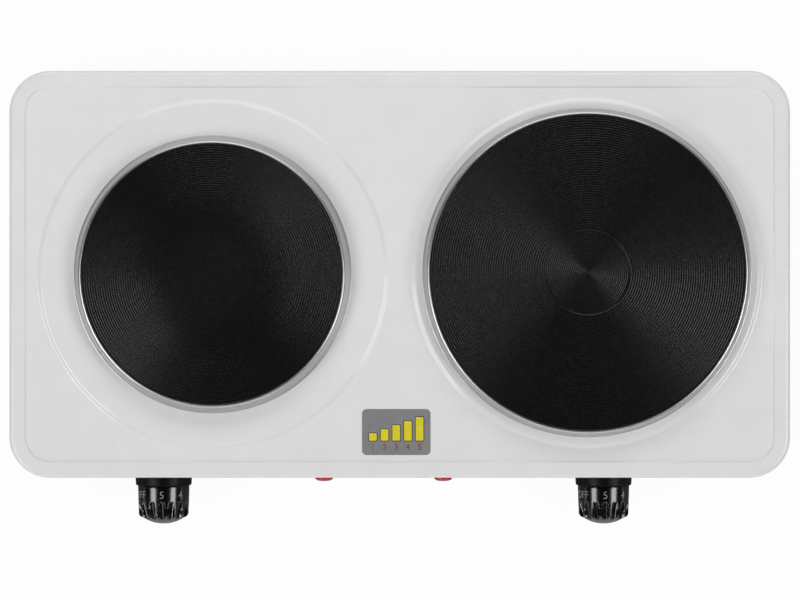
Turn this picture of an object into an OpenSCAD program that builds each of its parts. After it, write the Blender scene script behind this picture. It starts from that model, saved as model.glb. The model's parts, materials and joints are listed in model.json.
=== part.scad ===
// Double hot plate for the table top: an enamelled steel casing with two cast iron plates,
// two thermostat knobs and two indicator lamps on its front.
// Millimetres, +Z up, +X to the right, the controls on the -Y side.
// The origin is the middle of the footprint at the height of the table.

/* [Casing] */
// Width of the casing, left to right
body_w = 468; // [462:1:540]
// Depth of the casing, front to rear
body_d = 244; // [240:1:300]
// Height of the casing's side, from the base sheet to the top of the rim
body_h = 52.5; // [50:0.5:75]
// Radius of the casing's corners in plan
corner_r = 24.5; // [20:0.5:36]
// Thickness of the enamelled sheet
sheet_t = 1; // [0.8:0.1:1.4]
// Width of the flat rim that runs round the top
rim_w = 8.8; // [7:0.2:12]
// Depth of the top panel below the rim
panel_drop = 1.1; // [0.8:0.1:3]
// Width of the sloping step between rim and panel
step_w = 2.6; // [1.6:0.1:3.5]
// Radius of the rolled top edge
roll_r = 3; // [2:0.5:5]
// Width of the flange turned inwards at the foot of the casing
flange_w = 11; // [9:0.5:16]

/* [Plateaus] */
// Distance between the centres of the two plates
plate_spacing = 224; // [216:1:230]
// Outer radius of the round plateau under each plate
plateau_r = 106; // [103:0.5:107]
// Height of the plateaus above the panel
plateau_rise = 1.4; // [1:0.1:3]
// Width of the sloping step round each plateau
plateau_step = 4.6; // [2:0.2:6]
// How far the larger plate and its plateau sit towards the rear
large_shift = 1; // [0:0.2:2]

/* [Plates] */
// Radius of the smaller cast iron plate
small_r = 77.6; // [70:0.2:82]
// Radius of the larger cast iron plate
large_r = 93.9; // [86:0.1:94.5]
// Height of the plates' tops above the plateaus
plate_stand = 10.2; // [8:0.2:13]
// Height of a plate's casting
casting_h = 16; // [14.5:0.5:20]
// Thickness of the overhanging top flange of a casting
lip_h = 4.6; // [3.5:0.1:5]
// How far the top flange stands out past the casting's neck
lip_w = 4.2; // [3.6:0.1:5.5]
// Chamfer on a plate's top edge
edge_chamfer = 0.7; // [0.3:0.1:1.2]
// Thickness of the casting's side wall
casting_wall = 4; // [3:0.5:6]
// Thickness of the casting's top over the heating channel
casting_top = 7; // [6:0.5:8]
// Radius of the casting's centre boss
boss_r = 12; // [10:0.5:16]
// Radius of the shallow dish in the middle of the larger plate
large_dish_r = 25.2; // [18:0.2:32]
// Depth of the dish in the larger plate
large_dish_depth = 0.9; // [0.3:0.1:1.5]
// Radius of the shallow dish in the middle of the smaller plate
small_dish_r = 19; // [14:0.5:26]
// Depth of the dish in the smaller plate
small_dish_depth = 0.3; // [0.1:0.1:0.8]
// Clearance between a casting's neck and the hole in the casing
neck_clearance = 1.2; // [0.6:0.1:2]

/* [Overflow rings] */
// How far the smaller plate's ring reaches past the plate
small_ring_w = 5.6; // [4.5:0.1:7]
// How far the larger plate's ring reaches past the plate
large_ring_w = 4.6; // [4:0.1:5]
// Thickness of the ring's sheet
ring_t = 0.6; // [0.4:0.1:0.8]
// Distance of the ring's top below the plate's top
ring_drop = 0.6; // [0.4:0.1:1.2]
// Radius of the rounded edge that the ring turns beside the plate
ring_edge_r = 2.2; // [1.6:0.1:2.6]
// Gap between the plate and its ring
ring_gap = 0.25; // [0.2:0.05:0.5]
// Width and height of the turned-out foot that the ring rests on
ring_foot = 0.6; // [0.4:0.1:0.9]

/* [Heating] */
// Radius of the heating element
coil_r = 2.2; // [1.6:0.1:2.6]
// Radius of the element's innermost ring
coil_inner_r = 26; // [24:0.5:30]
// Number of rings of the element in the smaller plate
small_coil_rings = 3; // [3:2:5]
// Number of rings of the element in the larger plate
large_coil_rings = 5; // [3:2:5]
// Distance between the element's outermost ring and the casting's wall
coil_margin = 5; // [4:0.5:9]
// Radius of the element's cold ends
tail_r = 1.2; // [0.8:0.1:1.6]
// Distance between the two cold ends
tail_gap = 9; // [8:0.5:11]
// Thickness of the steel cover under a plate
cover_t = 0.8; // [0.6:0.1:1.2]
// Height of the ceramic terminal block under a plate
block_h = 12; // [9:0.5:14]
// Direction of the smaller plate's terminals, in degrees
small_terminal_turn = -60; // [-75:5:-45]
// Direction of the larger plate's terminals, in degrees
large_terminal_turn = -120; // [-135:5:-105]

/* [Plate fixings] */
// Radius of the stud in the middle of a plate
stud_r = 3; // [2.5:0.1:4]
// Width of the clamp bridge
bridge_w = 18; // [14:1:24]
// Thickness of the clamp bridge
bridge_t = 2; // [1.5:0.1:3]
// Depth of the bridge's middle below the plateau's sheet
bridge_depth = 16; // [15.6:0.2:19]
// Width across the corners of the clamp nut
nut_d = 11.5; // [10:0.1:15]
// Height of the clamp nut
nut_h = 5; // [4:0.5:7]

/* [Base and feet] */
// Height of the rubber feet
foot_h = 8; // [6:0.5:14]
// Radius of a foot at the base sheet
foot_r = 9; // [8:0.5:12]
// Distance of the feet from the casing's sides
foot_inset = 30; // [26:1:40]
// Thickness of the base sheet
base_t = 0.8; // [0.6:0.1:1.2]
// Gap between the base sheet's edge and the casing
base_gap = 0.5; // [0.3:0.1:1]
// Width of the vent slots
vent_w = 3.4; // [2:0.2:3.8]
// Length of the vent slots
vent_l = 46; // [30:1:60]
// Distance between neighbouring vent slots
vent_pitch = 9; // [7:0.5:12]
// Number of vent slots under each plate
vent_count = 11; // [5:2:13]
// Radius of the self-tapping screws
screw_r = 1.7; // [1.5:0.1:2]
// Radius of a screw's head
screw_head_r = 3.3; // [2.8:0.1:3.6]
// Height of a screw's head
screw_head_h = 1.8; // [1.4:0.1:2.4]
// Length of the base screws under the head
base_screw_l = 8; // [5:0.5:10]

/* [Controls] */
// Distance of the middle of the control row from the casing's middle, to the left
controls_left = 9.8; // [0:0.2:16]
// Distance of each knob from the middle of the control row
knob_reach = 133.7; // [110:0.1:150]
// Distance of each lamp from the middle of the control row
lamp_reach = 36.2; // [24:0.2:60]
// Height of the knobs and lamps above the base sheet
control_h = 27; // [25:0.5:29]
// Radius of the knob's bezel
bezel_r = 17.2; // [16.6:0.1:20]
// Thickness of the knob's bezel
bezel_t = 5.7; // [5:0.1:8]
// Wall thickness of the bezel
bezel_wall = 1.5; // [1:0.1:2]
// How much the bezel narrows towards the knob
bezel_draft = 0.3; // [0:0.05:0.4]
// Gap between bezel and knob
knob_gap = 0.4; // [0.3:0.1:1]
// Radius of the knob's barrel at the bezel
knob_back_r = 15.6; // [14:0.1:16]
// Radius of the knob's barrel at its shoulder
knob_front_r = 15.1; // [13.5:0.1:15.6]
// Distance of the knob's shoulder from the casing
shoulder_z = 22.9; // [21:0.1:26]
// Height of the knob's rounded shoulder
shoulder_h = 2.4; // [1:0.1:3]
// Radius of the knob's face inside the rounded shoulder
face_r = 12.6; // [11:0.1:13]
// How far the knob stands out from the casing
knob_tip_z = 29.2; // [28:0.1:34]
// Number of finger flutes round the knob
flute_count = 16; // [12:1:18]
// Radius of a finger flute
flute_r = 2.2; // [1.6:0.1:2.4]
// Distance of the finger flutes' start from the casing
flute_start = 15.4; // [13:0.1:18]
// Slope of the finger flutes towards the knob's tip, in degrees
flute_lean = 13; // [9:0.5:14]
// Wall thickness of the knob
knob_wall = 2; // [1.6:0.1:2.6]
// Radius of the knob's inner boss
knob_boss_r = 5.4; // [4.8:0.1:6]
// Turning angle from the highest setting to OFF
turn_angle = 300; // [240:5:310]

/* [Thermostats] */
// Radius of the knob's shaft
shaft_r = 3; // [2.6:0.1:3.2]
// Running clearance round the shaft
shaft_clearance = 0.05; // [0.02:0.01:0.1]
// Distance from the shaft's middle to its flat
flat_offset = 2.2; // [1.9:0.1:2.4]
// Distance from one thermostat screw to the shaft
screw_reach = 12; // [11.8:0.1:12.4]
// Width of the thermostat's ceramic body
ceramic_w = 30; // [28:1:36]
// Height of the thermostat's ceramic body
ceramic_h = 24; // [22:0.5:26]
// Depth of the thermostat's ceramic body
ceramic_d = 18; // [14:0.5:22]
// Thickness of the thermostat's bracket
bracket_t = 1.2; // [1:0.1:1.6]
// Distance between the bush's flange and the ceramic body
cam_space = 4.2; // [3.6:0.1:5]
// Thickness of the stop cam on the shaft
cam_t = 3; // [2:0.1:3]
// Radius of the stop cam
cam_r = 6.6; // [5.6:0.1:6.8]
// Outer radius of the cam's nose and of the stop
nose_r = 9.2; // [8.4:0.1:9.4]
// Angle that the cam's nose covers
nose_angle = 28; // [16:1:28]

/* [Lamps] */
// Radius of the lens
lens_r = 5.5; // [5:0.1:7]
// How far the lens stands out from the casing
lens_z = 3.4; // [2.4:0.1:5]
// Radius of the lens's tail behind the casing
lens_tail_r = 4.4; // [4:0.1:4.6]
// Radius of the neon bulb
bulb_r = 2.6; // [2:0.1:3]
// Length of the neon bulb
bulb_l = 13; // [10:0.5:16]

/* [Mains side] */
// Radius of the bore for the cord in the gland
cord_bore_r = 3.6; // [3:0.1:4.2]
// Outer radius of the gland's collar
gland_r = 8.6; // [7.6:0.1:10]
// How far the gland stands out from the rear wall
gland_z = 2; // [1.2:0.1:4]
// Length of the gland inside the rear wall
gland_inside = 12; // [8:0.5:16]
// Height of the gland above the base sheet
gland_h = 16; // [13:0.5:22]
// Distance of the gland from the middle, to the left
gland_left = 9.8; // [0:0.2:14]
// Distance between neighbouring poles of the mains terminal block
pole_pitch = 10; // [8:0.5:12]
// Depth of the mains terminal block
mains_d = 18; // [16:1:22]
// Height of the mains terminal block
mains_h = 15; // [13:0.5:18]
// Distance of the mains terminal block from the rear wall
mains_inset = 30; // [26:1:36]
// Radius of the insulated leads
lead_r = 1.3; // [1:0.1:1.4]

/* [Heat shield] */
// Distance of the heat shield from the front wall
shield_inset = 36; // [34:0.5:42]
// Length of the heat shield
shield_w = 330; // [300:2:360]
// Thickness of the heat shield
shield_t = 0.8; // [0.6:0.1:1.2]

/* [Sticker] */
// Distance of the sticker's middle from the casing's middle, to the left
sticker_left = 2.1; // [0:0.1:10]
// Width of the sticker
sticker_w = 41; // [30:1:60]
// Depth of the sticker
sticker_d = 27.5; // [18:0.5:30]
// Corner radius of the sticker
sticker_r = 2.7; // [1:0.1:5]
// Thickness of the sticker
sticker_t = 0.2; // [0.1:0.05:0.4]
// Distance of the sticker's middle from the casing's front
sticker_inset = 27.5; // [27:0.5:34]

/* [Hidden] */

// Facets of a full circle on round surfaces
$fn = 96;
// Gap left between pieces that lie loosely against each other
seat = 0.3;
// Gap between pieces that are fitted or soldered together
touch = 0.05;
// Clearance of a plain hole round a screw's shank
loose = 0.2;
// Overlap that lets a cut pass cleanly through a face
cut = 1;
// Sides of a lead's tube, and how far from a corner its bend begins
lead_sides = 8;
lead_bend = 5;
// Points in a quarter of the rolled edge, and in a sloping step
roll_points = 5;
step_points = 6;

// Heights above the table
base_z = foot_h;
base_top = base_z + base_t;
rim_z = base_z + body_h;
panel_z = rim_z - panel_drop;
plateau_z = panel_z + plateau_rise;
plate_z = plateau_z + plate_stand;
casting_z = plate_z - casting_h;
control_z = base_z + control_h;
gland_axis_z = base_z + gland_h;

// The footprint's middle lies between the knobs' tips and the gland's collar
body_y = (knob_tip_z - gland_z) / 2;
front_y = body_y - body_d / 2;
rear_y = body_y + body_d / 2;

// Places of plates, knobs and lamps: [x, y]
small_place = [-plate_spacing / 2, body_y];
large_place = [plate_spacing / 2, body_y + large_shift];
left_knob_x = -controls_left - knob_reach;
right_knob_x = -controls_left + knob_reach;
left_lamp_x = -controls_left - lamp_reach;
right_lamp_x = -controls_left + lamp_reach;

// Radius of a casting's neck, of the channel in it, and of the hole that the neck drops into
function neck_of(plate_r) = plate_r - lip_w;
function channel_of(plate_r) = neck_of(plate_r) - casting_wall;
function hole_of(plate_r) = neck_of(plate_r) + neck_clearance;

// Heating element: ring radii, height, and the place of the cold ends
channel_z = plate_z - casting_top;
coil_z = channel_z - seat - coil_r;
function coil_outer(plate_r) = channel_of(plate_r) - coil_margin;
function coil_step(plate_r, rings) = (coil_outer(plate_r) - coil_inner_r) / (rings - 1);
function coil_ring(plate_r, rings, i) = coil_inner_r + i * coil_step(plate_r, rings);
function end_angle(ring_r) = asin(tail_gap / ring_r);
function end_x(ring_r) = ring_r * cos(end_angle(ring_r));
cover_z = casting_z - cover_t;
block_z = cover_z - block_h;
pin_z = block_z - 5;
block_l = 26;
block_w = 14;

// Clamp bridge
bridge_z = plateau_z - sheet_t - bridge_depth;
nut_z = bridge_z - bridge_t - nut_h;
stud_z = nut_z - 4;
stud_depth = 7;

// Thermostat depths, measured inwards from the casing's outer face
bracket_back = sheet_t + bracket_t;
bush_flange_t = 1.2;
bush_back = bracket_back + bush_flange_t;
ceramic_front = bush_back + cam_space;
ceramic_back = ceramic_front + ceramic_d;
bush_r = 4.4;
blade_reach = 12;
blade_t = 0.6;
blade_w = 6;
front_blade_z = -ceramic_front - 5;
rear_blade_z = -ceramic_back + 4;

// Lamp depths, measured inwards from the casing's outer face
lens_tail_l = 9;
lens_wall = 1;
holder_wall = 1;
holder_back = 5 + bulb_l;

// Feet and screws; foot_web is the rubber between a foot's recess and the base sheet
foot_web = 3;
foot_x = body_w / 2 - foot_inset;
foot_y = body_d / 2 - foot_inset;
flange_mid = sheet_t + (flange_w - sheet_t) / 2;
base_screw_x = body_w / 2 - foot_inset - 22;
base_screw_y = body_d / 2 - flange_mid;

// Mains terminal block and earth screw
mains_x = -gland_left;
mains_y = rear_y - mains_inset - mains_d / 2;
poles = 4;
mains_w = poles * pole_pitch + 3;
pole_z = base_top + 6;
pole_r = 2.1;
earth_x = mains_x + mains_w / 2 + 12;
earth_y = mains_y + 4;
earth_nut_h = 2.6;
shield_y = front_y + shield_inset;
shield_top = control_z + 14;
wire_hole_r = 4;

// ---------------------------------------------------------------- helpers

// Rounds a side profile (x = distance out from a corner's centre, y = height) along a rectangle's edge
module sweep_round(w, d, r) {
    for (i = [0:3]) {
        across = (i % 2 == 0) ? w : d;
        out = (i % 2 == 0) ? d : w;
        rotate([0, 0, 90 * i]) {
            translate([-(across / 2 - r), out / 2 - r, 0])
                rotate([90, 0, 90])
                    linear_extrude(height = across - 2 * r)
                        children();
            translate([across / 2 - r, out / 2 - r, 0])
                rotate_extrude(angle = 90)
                    children();
        }
    }
}

// A flat sheet with round corners
module round_sheet(w, d, r, t) {
    sweep_round(w, d, r)
        square([r, t]);
    translate([-(w / 2 - r), -(d / 2 - r), 0])
        cube([w - 2 * r, d - 2 * r, t]);
}

// Stands local +Z out of the front wall at x, with local +Y up
module on_front(x) {
    translate([x, front_y, control_z])
        rotate([90, 0, 0])
            children();
}

// Stands local +Z out of the rear wall at the gland
module on_rear() {
    translate([-gland_left, rear_y, gland_axis_z])
        rotate([-90, 0, 0])
            children();
}

// Places its children at a plate's centre
module at_plate(place) {
    translate([place[0], place[1], 0])
        children();
}

// A tube between two points
module rod(a, b, r) {
    d = b - a;
    l = norm(d);
    translate(a)
        rotate([0, acos(d[2] / l), atan2(d[1], d[0])])
            cylinder(h = l, r = r, $fn = 24);
}

// A stiff wire along a list of points, with a slightly fuller bend at each inner point
module wire(points, r) {
    for (i = [0:len(points) - 2])
        rod(points[i], points[i + 1], r);
    for (i = [1:1:len(points) - 2])
        translate(points[i])
            sphere(r = r * 1.06, $fn = 24);
}

function unit(v) = v / norm(v);

// A route with each inner corner rounded off by three points
function rounded(route) = concat(
    [route[0]],
    [for (i = [1:len(route) - 2])
        let (here = route[i], back = route[i - 1] - here, on = route[i + 1] - here,
             a = here + unit(back) * min(lead_bend, norm(back) / 2.2),
             b = here + unit(on) * min(lead_bend, norm(on) / 2.2))
            each [a, (a + 2 * here + b) / 4, b]],
    [route[len(route) - 1]]);

// Direction of travel at point i, and the side vectors carried along from point i on
function heading(points, i) = unit(points[min(i + 1, len(points) - 1)] - points[max(i - 1, 0)]);
function carry(points, i, side) =
    let (t = heading(points, i), s = unit(side - (side * t) * t))
        (i == len(points) - 1) ? [s] : concat([s], carry(points, i + 1, s));

// A flexible lead along a route: one eight-sided tube
module lead(route, r) {
    points = rounded(route);
    sides = carry(points, 0, cross(heading(points, 0), [0.3, 0.2, 1]));
    n = lead_sides;
    last = len(points) - 1;
    rings = [
        for (i = [0:last])
            let (t = heading(points, i), u = sides[i], v = cross(t, u))
                for (k = [0:n - 1])
                    points[i] + r * (u * cos(360 * k / n) + v * sin(360 * k / n))
    ];
    walls = [
        for (i = [0:last - 1])
            for (k = [0:n - 1])
                let (a = i * n + k, b = i * n + (k + 1) % n)
                    each [[a, a + n, b], [b, a + n, b + n]]
    ];
    caps = [[for (k = [0:n - 1]) k], [for (k = [0:n - 1]) last * n + n - 1 - k]];
    polyhedron(rings, concat(walls, caps));
}

// A screw along local +Z: the head lies below z = 0, the shank runs up
module screw(shank_r, shank_l, head_r, head_h) {
    cylinder(h = shank_l, r = shank_r, $fn = 32);
    translate([0, 0, -head_h])
        cylinder(h = head_h, r1 = head_r - head_h * 0.3, r2 = head_r, $fn = 48);
}

// Points of a smooth step from [x0, z0] to [x1, z1]
function step_curve(x0, z0, x1, z1) = [
    for (i = [0:step_points])
        let (s = i / step_points)
            [x0 + (x1 - x0) * s, z0 + (z1 - z0) * (1 - cos(180 * s)) / 2]
];

// Points of a quarter circle about [cx, cz], turning from angle a0 to a1
function arc(cx, cz, r, a0, a1) = [
    for (i = [0:roll_points])
        let (a = a0 + (a1 - a0) * i / roll_points)
            [cx + r * cos(a), cz + r * sin(a)]
];

// ---------------------------------------------------------------- casing

// Side profile of the casing: flange, wall, rolled edge, rim, step and panel
module casing_profile() {
    rim_in = corner_r - rim_w;
    panel_in = rim_in - step_w;
    wall_in = corner_r - sheet_t;
    flange_in = corner_r - flange_w;
    flange_z = base_top + seat;
    outer = concat(
        [[0, panel_z]],
        step_curve(panel_in, panel_z, rim_in, rim_z),
        arc(corner_r - roll_r, rim_z - roll_r, roll_r, 90, 0),
        [[corner_r, base_z], [wall_in, base_z], [wall_in, flange_z]]);
    inner = concat(
        [[flange_in, flange_z], [flange_in, flange_z + sheet_t], [wall_in, flange_z + sheet_t]],
        arc(corner_r - roll_r, rim_z - roll_r, roll_r - sheet_t, 0, 90),
        step_curve(rim_in, rim_z - sheet_t, panel_in, panel_z - sheet_t),
        [[0, panel_z - sheet_t]]);
    polygon(concat(outer, inner));
}

// The raised round plateau of one plate, from its sloping step to the hole's edge
module plateau(hole_r) {
    top_r = plateau_r - plateau_step;
    rotate_extrude()
        polygon(concat(
            step_curve(plateau_r, panel_z, top_r, plateau_z),
            [[hole_r, plateau_z], [hole_r, plateau_z - sheet_t]],
            step_curve(top_r, plateau_z - sheet_t, plateau_r, panel_z - sheet_t)));
}

module top_shell() {
    color([0.93, 0.93, 0.92])
        difference() {
            union() {
                difference() {
                    translate([0, body_y, 0]) {
                        sweep_round(body_w, body_d, corner_r)
                            casing_profile();
                        translate([-(body_w / 2 - corner_r), -(body_d / 2 - corner_r), panel_z - sheet_t])
                            cube([body_w - 2 * corner_r, body_d - 2 * corner_r, sheet_t]);
                    }
                    for (place = [small_place, large_place])
                        at_plate(place)
                            translate([0, 0, panel_z - sheet_t - cut])
                                cylinder(h = sheet_t + 2 * cut, r = plateau_r);
                }
                at_plate(small_place)
                    plateau(hole_of(small_r));
                at_plate(large_place)
                    plateau(hole_of(large_r));
            }
            for (x = [left_knob_x, right_knob_x])
                on_front(x)
                    knob_holes();
            for (x = [left_lamp_x, right_lamp_x])
                on_front(x)
                    wall_hole(lens_tail_r + seat);
            on_rear()
                wall_hole(gland_tube_r() + seat / 2);
            base_screw_places()
                cylinder(h = base_top + 2 * sheet_t + cut, r = screw_r + touch, $fn = 32);
        }
}

// A hole through the wall that lies just behind z = 0
module wall_hole(r) {
    translate([0, 0, -sheet_t - cut])
        cylinder(h = sheet_t + 2 * cut, r = r, $fn = 48);
}

// Holes behind one knob: the bush, the two thermostat screws and the bezel's two pegs
module knob_holes() {
    wall_hole(bush_r + seat);
    for (side = [-1, 1]) {
        translate([side * screw_reach, 0, 0])
            wall_hole(screw_r + seat);
        translate([0, side * screw_reach, 0])
            wall_hole(peg_r() + 0.1);
    }
}

function peg_r() = 1.5;
function gland_tube_r() = cord_bore_r + 2.4;

// ---------------------------------------------------------------- base and feet

// The six screws that hold the base to the casing's flange
module base_screw_places() {
    for (x = [-base_screw_x, 0, base_screw_x])
        for (y = [-base_screw_y, base_screw_y])
            translate([x, body_y + y, 0])
                children();
}

module base_cover() {
    inset = sheet_t + base_gap;
    color([0.32, 0.33, 0.34])
        difference() {
            translate([0, body_y, base_z])
                round_sheet(body_w - 2 * inset, body_d - 2 * inset, corner_r - inset, base_t);
            for (place = [small_place, large_place])
                at_plate(place)
                    vents();
            base_screw_places()
                translate([0, 0, base_z - cut])
                    cylinder(h = base_t + 2 * cut, r = screw_r + loose, $fn = 32);
            for (x = [-foot_x, foot_x])
                for (y = [-foot_y, foot_y])
                    translate([x, body_y + y, base_z - cut])
                        cylinder(h = base_t + 2 * cut, r = screw_r + touch, $fn = 32);
            translate([earth_x, earth_y, base_z - cut])
                cylinder(h = base_t + 2 * cut, r = screw_r + touch, $fn = 32);
        }
}

// A row of vent slots through the base sheet
module vents() {
    for (i = [0:vent_count - 1])
        translate([(i - (vent_count - 1) / 2) * vent_pitch - vent_w / 2, -vent_l / 2, base_z - cut])
            cube([vent_w, vent_l, base_t + 2 * cut]);
}

module base_screws() {
    color([0.7, 0.7, 0.68])
        base_screw_places()
            translate([0, 0, base_z - touch])
                screw(screw_r, base_screw_l, screw_head_r, screw_head_h);
}

// A rubber foot with a recess for its screw
module foot(x, y) {
    recess = foot_h - foot_web;
    color([0.12, 0.12, 0.12])
        translate([x, body_y + y, 0])
            difference() {
                cylinder(h = foot_h, r1 = foot_r - 1.2, r2 = foot_r);
                translate([0, 0, -cut])
                    cylinder(h = foot_h + 2 * cut, r = screw_r + loose, $fn = 32);
                translate([0, 0, -cut])
                    cylinder(h = recess + cut, r = screw_head_r + 0.6, $fn = 48);
            }
}

module foot_screws() {
    color([0.7, 0.7, 0.68])
        for (x = [-foot_x, foot_x])
            for (y = [-foot_y, foot_y])
                translate([x, body_y + y, foot_h - foot_web])
                    screw(screw_r, foot_web + base_t + 3, screw_head_r, screw_head_h);
}

// ---------------------------------------------------------------- plates

// A cast iron plate: flange with a shallow dish, neck, heating channel and centre boss
module plate(place, plate_r, dish_r, dish_depth) {
    neck = neck_of(plate_r);
    channel = channel_of(plate_r);
    dish_edge = 1.2;
    color([0.13, 0.13, 0.14])
        at_plate(place)
            difference() {
                rotate_extrude()
                    polygon([
                        [0, plate_z - dish_depth],
                        [dish_r - dish_edge, plate_z - dish_depth],
                        [dish_r, plate_z],
                        [plate_r - edge_chamfer, plate_z],
                        [plate_r, plate_z - edge_chamfer],
                        [plate_r, plate_z - lip_h + edge_chamfer],
                        [plate_r - edge_chamfer, plate_z - lip_h],
                        [neck, plate_z - lip_h],
                        [neck, casting_z],
                        [channel, casting_z],
                        [channel, channel_z],
                        [boss_r, channel_z],
                        [boss_r, casting_z],
                        [0, casting_z]
                    ]);
                translate([0, 0, casting_z - cut])
                    cylinder(h = stud_depth + cut, r = stud_r + touch, $fn = 48);
            }
}

// A pressed overflow ring: collar round the neck, rounded edge beside the plate, cone to the plateau
module overflow_ring(place, plate_r, ring_w) {
    neck = neck_of(plate_r) + 0.1;
    collar_l = 2.2;
    under_z = plate_z - lip_h - 0.1;
    edge_in = plate_r + ring_gap;
    edge_z = plate_z - ring_drop - ring_edge_r;
    foot_out = plate_r + ring_w;
    cone_end = [foot_out - ring_foot, plateau_z + ring_foot];
    across = cone_end - [edge_in, edge_z];
    leave_a = atan2(across[1], across[0]) + acos(ring_edge_r / norm(across));
    inner_r = ring_edge_r - ring_t;
    color([0.72, 0.72, 0.72])
        at_plate(place)
            rotate_extrude()
                polygon(concat(
                    [[neck, under_z],
                     [neck, under_z - collar_l],
                     [neck + ring_t, under_z - collar_l],
                     [neck + ring_t, under_z - ring_t],
                     [edge_in + ring_t, under_z - ring_t]],
                    arc(edge_in, edge_z, inner_r, acos(ring_t / inner_r), leave_a),
                    [cone_end - ring_t * [cos(leave_a), sin(leave_a)],
                     [foot_out - ring_t, plateau_z],
                     [foot_out, plateau_z],
                     cone_end],
                    arc(edge_in, edge_z, ring_edge_r, leave_a, 90),
                    [[edge_in, under_z]]));
}

// The element: rings joined alternately at either side of the gap, and two cold ends that turn down
module heating_coil(place, plate_r, rings, turn) {
    last = rings - 1;
    r0 = coil_ring(plate_r, rings, 0);
    r1 = coil_ring(plate_r, rings, last);
    tail_x = tail_x_of(plate_r);
    color([0.45, 0.42, 0.4])
        at_plate(place)
            rotate([0, 0, turn]) {
                for (i = [0:last]) {
                    ring = coil_ring(plate_r, rings, i);
                    a = end_angle(ring);
                    translate([0, 0, coil_z])
                        rotate([0, 0, a])
                            rotate_extrude(angle = 360 - 2 * a)
                                translate([ring, 0])
                                    circle(r = coil_r, $fn = 24);
                }
                for (i = [0:last - 1]) {
                    y = (i % 2 == 0) ? -tail_gap : tail_gap;
                    from = coil_ring(plate_r, rings, i);
                    to = coil_ring(plate_r, rings, i + 1);
                    wire([[end_x(from) - 1, y, coil_z], [end_x(to) + 1, y, coil_z]], coil_r * 0.96);
                }
                wire([[end_x(r0), tail_gap, coil_z], [end_x(r0), tail_y(), coil_z],
                      [tail_x, tail_y(), coil_z], [tail_x, tail_y(), pin_z]], tail_r);
                wire([[end_x(r1), -tail_gap, coil_z], [tail_x, -tail_y(), coil_z],
                      [tail_x, -tail_y(), pin_z]], tail_r);
            }
}

// Where a plate's cold ends come down: distance from the plate's centre, and half their distance apart
function tail_x_of(plate_r) = end_x(coil_outer(plate_r)) - 4;
function tail_y() = tail_gap / 2 - 1;

// Places its children at a plate's cold ends
module at_terminals(place, plate_r, turn) {
    at_plate(place)
        rotate([0, 0, turn])
            translate([tail_x_of(plate_r), 0, 0])
                children();
}

// Holes round the two cold ends
module tail_holes(z, h, r) {
    for (side = [-1, 1])
        translate([0, side * tail_y(), z])
            cylinder(h = h, r = r, $fn = 32);
}

// The insulating bed that holds the element up in its channel
module coil_bed(place, plate_r, turn) {
    top = coil_z - coil_r - 0.05;
    color([0.85, 0.83, 0.78])
        difference() {
            at_plate(place)
                translate([0, 0, casting_z])
                    difference() {
                        cylinder(h = top - casting_z, r = channel_of(plate_r) - seat);
                        translate([0, 0, -cut])
                            cylinder(h = top - casting_z + 2 * cut, r = boss_r + seat);
                    }
            at_terminals(place, plate_r, turn)
                tail_holes(casting_z - cut, top - casting_z + 2 * cut, tail_r + 0.2);
        }
}

// The steel disc that closes a plate from below
module coil_cover(place, plate_r, turn) {
    color([0.6, 0.6, 0.58])
        difference() {
            at_plate(place)
                translate([0, 0, cover_z])
                    difference() {
                        cylinder(h = cover_t, r = neck_of(plate_r) - 1);
                        translate([0, 0, -cut])
                            cylinder(h = cover_t + 2 * cut, r = stud_r + seat, $fn = 48);
                    }
            at_terminals(place, plate_r, turn)
                tail_holes(cover_z - cut, cover_t + 2 * cut, tail_r + 0.8);
        }
}

// A ceramic block round the cold ends
module terminal_block(place, plate_r, turn) {
    color([0.92, 0.9, 0.86])
        at_terminals(place, plate_r, turn)
            difference() {
                translate([-block_w / 2, -block_l / 2, block_z])
                    cube([block_w, block_l, block_h]);
                tail_holes(block_z - cut, block_h + 2 * cut, tail_r + 0.2);
            }
}

module plate_stud(place) {
    color([0.68, 0.67, 0.62])
        at_plate(place)
            translate([0, 0, stud_z])
                cylinder(h = casting_z + stud_depth - 0.5 - stud_z, r = stud_r, $fn = 48);
}

// A strap with both ends turned up against the casing's sheet
module clamp_bridge(place, plate_r) {
    top = plateau_z - sheet_t;
    reach = hole_of(plate_r) + 1.6;
    outer = reach + bridge_t;
    foot_l = plateau_r - plateau_step - 3 - reach;
    color([0.62, 0.62, 0.6])
        at_plate(place)
            difference() {
                translate([0, bridge_w / 2, 0])
                    rotate([90, 0, 0])
                        linear_extrude(height = bridge_w)
                            polygon([
                                [-reach - foot_l, top], [-reach, top],
                                [-reach, bridge_z], [reach, bridge_z],
                                [reach, top], [reach + foot_l, top],
                                [reach + foot_l, top - bridge_t], [outer, top - bridge_t],
                                [outer, bridge_z - bridge_t], [-outer, bridge_z - bridge_t],
                                [-outer, top - bridge_t], [-reach - foot_l, top - bridge_t]
                            ]);
                translate([0, 0, bridge_z - bridge_t - cut])
                    cylinder(h = bridge_t + 2 * cut, r = stud_r + seat, $fn = 48);
            }
}

module clamp_nuts() {
    color([0.7, 0.69, 0.64])
        for (place = [small_place, large_place])
            at_plate(place)
                translate([0, 0, nut_z])
                    difference() {
                        cylinder(h = nut_h, r = nut_d / 2, $fn = 6);
                        translate([0, 0, -cut])
                            cylinder(h = nut_h + 2 * cut, r = stud_r + touch, $fn = 48);
                    }
}

// ---------------------------------------------------------------- knobs

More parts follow.
